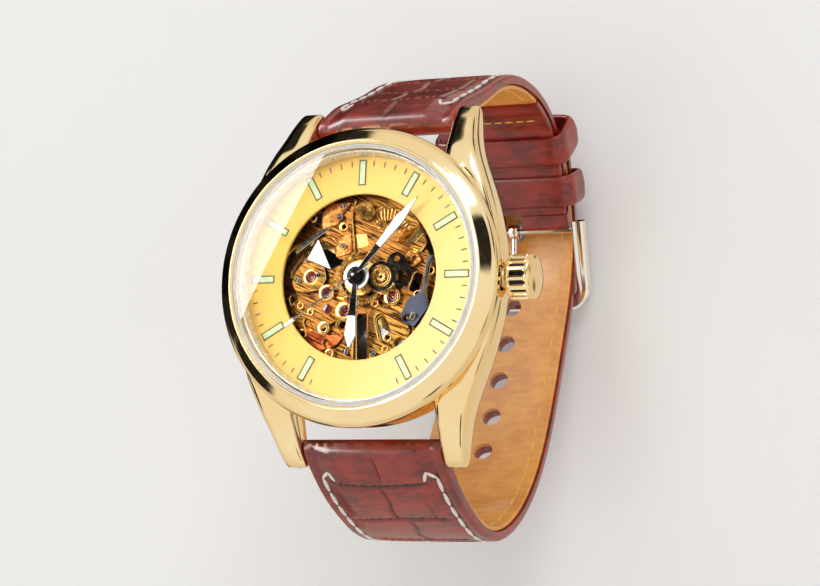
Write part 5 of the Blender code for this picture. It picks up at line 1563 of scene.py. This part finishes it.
def make_plates():
    windows = [
        ring_sector(BALANCE, 2.5, 5.1, 22, 180), ring_sector(BARREL, 1.9, 4.2, 25, 130),
        rounded([(-0.9, -4.6), (0.5, -4.6), (0.9, -10.9), (-0.6, -10.9)], 0.3),
        capsule((2.6, -5.6), (3.4, -7.4), 0.6, 0.8), circle((-7.3, 8.4), 0.9), circle((5.6, -8.8), 0.7),
        *[circle(at, 0.72) for at in (THIRD, ESCAPE, FORK, BALANCE)], circle((0, 0), 0.5),
    ]
    extra = [
        rounded([(-1.6, 6.0), (0.0, 6.0), (0.4, 4.5), (-1.4, 4.1)], 0.3), circle((-2.9, -5.99), 0.5),
        circle((-8.5, -7.2), 0.55), circle((-4.4, -9.9), 0.5), rounded(
            [(6.3, -1.6), (7.6, -2.2), (8.4, 0.4), (7.2, 0.8)], 0.4,
        ),
        capsule((8.6, 5.2), (9.6, 3.2), 0.45, 0.45), capsule((-9.6, -4.6), (-10.2, -2.4), 0.4, 0.5),
    ]
    plate(
        "plate_base", circle((0, 0), PLATE_EDGE, 160), DARK_BRONZE, "case", "rose_bronze", BASE_LOW, BASE_TOP,
        windows + extra, replaces="main_plate",
    )
    low, high = BASE_TOP - 0.02, PLATE_TOP
    pads = (
        (
            "pad_lower_right",
            [
                (1.5, -2.6), (3.0, -3.9), (5.2, -3.6), (6.6, -4.4), (7.0, -7.6), (5.4, -10.2), (2.4, -11.2),
                (1.2, -10.9), (0.9, -4.2),
            ],
            (capsule((2.6, -5.4), (3.3, -7.3), 0.7, 0.9), circle((5.6, -8.8), 0.8)), BRONZE,
        ),
        (
            "pad_lower_left",
            [
                (-1.0, -3.0), (-1.0, -10.9), (-3.6, -11.0), (-6.6, -9.6), (-9.3, -7.0), (-10.4, -3.6),
                (-9.6, -2.4), (-7.0, -3.0), (-5.6, -3.0), (-3.8, -2.2),
            ],
            (
                circle(ESCAPE, 1.15), circle((-2.9, -5.99), 0.62), circle((-8.5, -7.2), 0.7),
                circle((-4.4, -9.9), 0.65), capsule((-6.9, -7.4), (-7.9, -5.6), 0.35, 0.45),
            ),
            DARK_BRONZE,
        ),
        (
            "pad_red", [(-8.6, -6.2), (-4.6, -7.3), (-2.2, -7.2), (-3.6, -8.9), (-5.8, -9.6), (-7.4, -8.6)],
            (circle((-5.0, -8.4), 0.4),), RED_BRONZE,
        ),
        (
            "pad_left", [(-3.2, 1.9), (-4.4, 0.6), (-4.2, -1.0), (-2.4, -2.0), (-2.0, -0.6), (-2.7, 1.0)],
            (), BRONZE,
        ),
        (
            "pad_upper_left",
            [
                (-1.9, 2.9), (-3.8, 2.7), (-4.5, 5.4), (-6.3, 6.4), (-6.1, 9.1), (-3.0, 10.6), (-1.4, 10.7),
                (-1.9, 8.4), (-1.6, 6.2), (-1.2, 3.2),
            ],
            (circle((-3.0, 7.0), 0.55),), DARK_BRONZE,
        ),
        (
            "pad_upper_right",
            [(5.3, 4.6), (8.0, 3.2), (9.0, 4.6), (7.4, 7.8), (5.6, 9.2), (5.0, 8.4), (6.4, 6.6)],
            (circle((7.4, 5.4), 0.45),), BRONZE,
        ),
        (
            "pad_right", [(5.4, 1.9), (7.0, 1.4), (8.3, 2.2), (7.7, 3.3), (6.2, 3.6)],
            (circle((7.1, 2.5), 0.3),), COPPER,
        ),
    )
    for name, outline, holes, finish in pads:
        lift = 0.05 if name == "pad_red" else 0.0
        plate(
            name, rounded(outline, 0.35), finish, "case", "rose_bronze", low, high + lift, holes,
            chamfer=0.14,
        )
    tops = (
        (
            "copper_block",
            [(-6.2, 8.9), (-6.1, 6.7), (-3.8, 7.3), (-3.4, 8.5), (-2.0, 10.2), (-5.2, 10.2)], COPPER,
            0.3,
        ),
        ("copper_cover", [(-4.4, 5.3), (-1.9, 6.1), (-1.6, 3.5), (-3.9, 2.8)], COPPER, 0.18),
        (
            "first_yoke",
            [(-1.3, 8.55), (-1.7, 9.6), (-0.1, 10.3), (1.1, 9.9), (1.5, 8.6), (0.6, 7.6), (-0.7, 8.2)],
            DEEP_GOLD, 0.35,
        ),
        (
            "second_yoke",
            [(5.7, 6.8), (6.5, 6.2), (7.7, 6.9), (8.6, 5.8), (7.3, 4.4), (4.2, 4.8), (6.0, 6.2)],
            DEEP_GOLD, 0.25,
        ),
        (
            "balance_boss",
            [
                (-9.7, 1.2), (-8.8, 2.2), (-7.2, 2.4), (-5.6, 1.7), (-5.2, 0.2), (-6.0, -1.3), (-8.2, -1.7),
                (-9.6, -1.5), (-10.3, -0.4),
            ],
            BRONZE, 0.2,
        ),
        (
            "curved_click", [(1.6, 7.0), (3.4, 6.2), (4.9, 6.6), (5.2, 7.4), (3.6, 7.1), (2.0, 7.9)],
            DEEP_GOLD, 0.12,
        ),
        (
            "long_spring",
            [(-10.2, 4.0), (-9.8, 3.6), (-7.2, 5.4), (-4.9, 6.9), (-5.2, 7.4), (-7.6, 6.0)], STEEL,
            0.12,
        ),
    )
    for name, outline, finish, rise in tops:
        holes = (circle(BALANCE, 0.95),) if name == "balance_boss" else ()
        slot = "gilt_brass" if finish in (DEEP_GOLD, BRONZE) else "rose_bronze"
        plate(
            name, rounded(outline, 0.3), finish, "case", slot, PLATE_TOP - 0.02, PLATE_TOP + rise,
            holes, chamfer=0.09,
        )
    label = [(-6.6, 5.4), (-8.1, 2.8), (-4.6, 1.35)]
    plate(
        "blank_label", rounded(label, 0.12), LABEL, "case", "white_nylon", PLATE_TOP + 0.2,
        PLATE_TOP + 0.25, chamfer=0.01,
    )
    reach = np.where(np.arange(176) % 4 < 2, 3.62, 3.36)  # 44 square teeth
    angle = np.radians(np.linspace(42, 318, 176))
    outer = np.column_stack((reach * np.cos(angle), reach * np.sin(angle)))
    plate(
        "hub_ring", np.vstack((outer, arc((0, 0), 2.85, 318, 42, 90))), DEEP_GOLD, "case",
        "gilt_brass", 8.3, 8.5, chamfer=0.05,
    )
    rungs = [
        plate_mesh(ring_sector(BARREL, 2.4, 4.3, a, a + 3.2, 4), (), 7.5, 7.62, 0.03)
        for a in range(28, 130, 8)
    ]
    frame = [
        plate_mesh(ring_sector(BARREL, r, r + 0.3, 26, 130, 30), (), 7.5, 7.75, 0.06)
        for r in (2.2, 4.1)
    ]
    put("barrel_ladder", *many(rungs + frame), DEEP_GOLD, "case", "gilt_brass")
    arcs = [
        plate_mesh(ring_sector(BALANCE, r, r + 0.16, 25, 178, 40), (), 7.45, 7.6, 0.04)
        for r in (2.7, 4.85)
    ]
    put("balance_window_rails", *many(arcs), DEEP_GOLD, "case", "gilt_brass")


def make_bosses():
    """Rings round every jewel and hole: a turned collar with a rounded top, many in one mesh for each
    finish. Each hole except the four jewels' gets a black disc of painted shade in its bore."""
    gilt, dark = [], []
    for at, inner, outer in (
        (THIRD, 0.72, 1.15), (ESCAPE, 0.72, 1.1), (FORK, 0.72, 1.1), (BALANCE, 0.72, 1.05), (
            (-8.84, -3.37), 0.25, 0.5,
        ),
        (
            (-7.35, -4.28), 0.25, 0.5,
        ), ((-5.33, -6.44), 0.4, 0.85), ((1.92, -3.35), 0.3, 0.55), ((3.89, -7.9), 0.35, 0.6),
        (
            (-7.6, 8.35), 0.3, 0.6,
        ), ((7.9, -2.3), 0.3, 0.55), ((-3.0, 7.0), 0.3, 0.6), ((3.6, -9.4), 0.25, 0.5),
        ((-8.48, -7.17), 0.4, 0.7), (
            (-4.36, -9.87), 0.35, 0.65,
        ), ((7.4, 5.4), 0.3, 0.6), ((9.6, 0.8), 0.3, 0.6),
    ):
        top, low = PLATE_TOP + 0.16, PLATE_TOP - 0.42
        section = rounded(
            [(inner, low), (outer, low), (outer, top - 0.05), (inner + 0.12, top), (inner, top - 0.14)],
            0.05,
        )
        gilt.append(lathe_mesh(section, at, 36))
        dark.append(
            lathe_mesh(((0, low), (inner - 0.02, low), (inner - 0.02, low + 0.1), (0, low + 0.1)), at, 24)
        )
    put("gilt_collars", *many(gilt), DEEP_GOLD, "case", "gilt_brass", sharp=50)
    # painted shade: black discs that make the holes look deep
    put("dark_bores", *many(dark[4:]), BLACK_METAL, "case", "black_metal")
    for name, at in (("third", THIRD), ("escape", ESCAPE), ("fork", FORK), ("balance", BALANCE)):
        low, high = span(f"{name}_jewel")
        section = [
            (0.16, low[2]), (0.69, low[2]), (0.69, high[2] - 0.05), (0.6, high[2]),
            (0.42, high[2] - 0.02), (0.16, high[2] - 0.22),
        ]
        made = lathe_mesh(rounded(section, 0.04), at, 48)
        put(f"{name}_cup_jewel", *made, RUBY, "case", "ruby", sharp=40, replaces=f"{name}_jewel")
    stone = lathe_mesh(((0, 7.88), (0.62, 7.88), (0.62, 8.0), (0.5, 8.06), (0, 8.06)), (-4.98, -3.9), 36)
    put("cap_stone", *stone, RUBY, "case", "ruby", sharp=40)
    screws = [
        screw_mesh(at, PLATE_TOP + rise, radius, turn)
        for at, rise, radius, turn in (
            ((-3.5, 8.3), 0.28, 0.42, 20), ((-3.0, 9.7), 0.28, 0.42, 100), ((-2.9, 4.4), 0.16, 0.38, 60),
            ((6.1, -9.9), -0.38, 0.6, 130), ((-9.6, -5.9), -0.38, 0.5, 40), ((8.9, 6.2), -0.38, 0.5, 10),
            ((-9.2, 0.0), 0.18, 0.4, 75), ((-6.2, 0.6), 0.18, 0.4, 160), ((2.0, -9.9), -0.02, 0.42, 33),
            ((-2.0, -9.7), -0.02, 0.42, 80),
        )
    ]
    put("plate_screws", *many(screws), STEEL, "case", "polished_steel")


def make_black_bridge():
    low, high = 8.71, 8.92
    for name, at, outer, inner, lift in (
        ("setting_lobe", (2.95, 0.1), (1.97, 72), (1.5, 60), 0.0),
        ("stem_lobe", (5.95, 0.0), (1.38, 60), (0.85, 40), 0.01),
    ):
        plate(
            name, circle(at, *outer), BLACK_METAL, "case", "black_metal", low + lift, high + lift,
            (circle(at, *inner),), replaces="setting_bridge", chamfer=0.07,
        )
    block = [(3.6, 1.75), (4.2, 2.95), (5.24, 3.35), (6.36, 2.6), (6.9, 1.1), (6.0, 1.1), (5.0, 1.0)]
    plate("setting_block", rounded(block, 0.3), BLACK_METAL, "case", "black_metal", low - 0.01, high + 0.02,
          (circle((5.2, 2.3), 0.42),), replaces="setting_bridge", chamfer=0.09)
    neck = [(4.5, 0.75), (5.0, 0.8), (5.0, -0.7), (4.5, -0.65)]
    plate(
        "setting_neck", rounded(neck, 0.1), BLACK_METAL, "case", "black_metal", low + 0.02,
        high - 0.02, chamfer=0.05,
    )
    beads = [
        lathe_mesh(((0, 8.8), (0.1, 8.8), (0.1, 8.88), (0.06, 8.92), (0, 8.92)), at, 12)
        for at in circle((3.0, 0), 1.12, 12)
    ]
    rim = lathe_mesh(rounded([(1.0, 8.72), (1.25, 8.72), (1.25, 8.8), (1.0, 8.8)], 0.03), (3.0, 0), 60)
    put("bead_ring", *many(beads + [rim]), DEEP_GOLD, "case", "gilt_brass", sharp=50)
    lip = [(2.2, -1.9), (3.45, -2.2), (4.7, -1.8), (4.4, -1.45), (3.4, -1.85), (2.4, -1.6)]
    plate("yellow_lip", rounded(lip, 0.12), DEEP_GOLD, "case", "gilt_brass", 8.6, 8.7, chamfer=0.03)
    jumper = [
        (9.95, 2.8), (9.45, 2.9), (9.0, 1.7), (8.9, 0), (8.5, -1.9), (6.6, -3.0), (5.75, -4.95), (6.1, -6.0),
        (7.7, -6.7), (9.6, -4.2), (9.0, -1.9), (9.25, 0.0), (9.4, 1.5),
    ]
    plate(
        "slate_jumper", rounded(jumper, 0.25), SLATE, "case", "slate_steel", 8.0, 8.3,
        (circle((6.6, -5.4), 0.42),), replaces="jumper_spring", chamfer=0.08,
    )
    edge = [
        (8.95, -1.9), (9.3, 0.0), (9.45, 1.6), (10.0, 2.9), (10.2, 2.7), (9.7, 1.4), (9.5, 0.0),
        (9.2, -2.0), (9.9, -4.2), (9.6, -4.3),
    ]
    plate("silver_spring", rounded(edge, 0.08), STEEL, "case", "polished_steel", 8.1, 8.36, chamfer=0.04)
    put("jumper_screw", *screw_mesh((7.4, -5.2), 8.28, 0.55, 70), STEEL, "case", "polished_steel")


lathe(
    "hub_washer", [(0.9, 9.8), (1.8, 9.8), (1.8, 9.98), (0.9, 9.98)], HUB_SILVER, "hours",
    "polished_steel", round_off=0.06,
)
make_plates()
make_bosses()
make_black_bridge()
print("dial side of the movement")

# %% [markdown]
# # Movement, back side, and the finishes of the pieces kept from the solid model
# The back shows through its own crystal: three rhodium bridges with straight stripes, blue screws, red
# jewels, and the winding rotor with a heavy gilt rim. The wheels, pinions, springs and shafts keep the
# solid model's shapes and take brass and steel finishes.

# %% Back, rotor and finishes
def make_back():
    low, high = BACK_LOW[2], BACK_HIGH[2]
    outer, seat = BACK_HIGH[0], 12.84
    profile = [
        (12.1, high), (outer, high), (outer, high - 0.56), (outer - 0.9, low), (seat, low),
        (seat, 1.2), (12.1, 1.2),
    ]
    lathe(
        "back_ring", profile, GOLD, "case", "polished_gold", round_off=0.12, replaces="case_back",
        sides=240,
    )
    marks = [
        plate_mesh(ring_sector((0, 0), 15.2, 16.9, a - 3.2, a + 3.2, 10), (), low - 0.001, low + 0.06, 0.03)
        for a in range(0, 360, 60)
    ]
    put("back_key_flats", *many(marks), STEEL, "case", "polished_steel")
    crystal = [(0, 0), (12.6, 0), (12.8, 0.2), (12.8, 0.9), (0, 0.9)]
    piece = lathe("back_glass", crystal, GLASS, "case", "sapphire_crystal", replaces="back_crystal")
    piece.visible_shadow = False
    angle = 92
    web = ring_sector((0, 0), 1.5, 10.7, -angle, angle, 70)
    gaps = [ring_sector((0, 0), 4.0, 9.3, a - 11, a + 11, 12) for a in (-58, -20, 20, 58)]
    plate(
        "rotor_web", web, RHODIUM, "rotor", "rhodium_plate", 2.35, 2.6,
        [rounded(g, 0.4) for g in gaps], replaces="rotor",
    )
    rim = ring_sector((0, 0), 10.3, 13.3, -88, 88, 90)
    plate("rotor_rim", rim, DEEP_GOLD, "rotor", "gilt_brass", 2.1, 2.95, chamfer=0.2, replaces="rotor")
    lathe(
        "rotor_hub", [(0.75, 2.3), (1.9, 2.3), (1.9, 2.75), (0.75, 2.75)], STEEL, "rotor",
        "polished_steel", round_off=0.08, replaces="rotor",
    )
    jewels = [
        lathe_mesh(((0.14, 3.68), (0.73, 3.68), (0.73, 4.3), (0.14, 4.3)), at, 36)
        for at in (THIRD, ESCAPE, BALANCE)
    ]
    put("back_jewels", *many(jewels), RUBY, "case", "ruby")


KEPT = (
    (RING_SILVER, ("movement_holder",)),
    (RHODIUM, ("barrel_bridge", "train_bridge", "balance_cock", "pallet_cock")),
    (BLUE_STEEL, ("balance_cock_screw", "barrel_bridge_screw", "train_bridge_screw", "hairspring")),
    (BRASS_WHEEL, (
        "fourth_wheel", "third_wheel", "centre_wheel", "barrel_drum", "minute_wheel", "hour_wheel",
        "balance_wheel",
    )),
    (STEEL, (
        "mainspring", "barrel_arbor", "crown_wheel", "ratchet_wheel", "escape_wheel", "pallet_fork",
        "cannon_pinion", "rotor_post", "stem", "winding_pinion", "crown_tube", "spring_bar_12",
        "spring_bar_6", "buckle_bar",
    )),
    (RUBBER, ("back_gasket", "crown_seal")),
)
make_back()
for finish, nodes in KEPT:
    for node in nodes:
        for kept_slot in bpy.data.objects[node].material_slots:
            kept_slot.material = finish
print("finishes on", sum(len(nodes) for _, nodes in KEPT), "kept pieces")
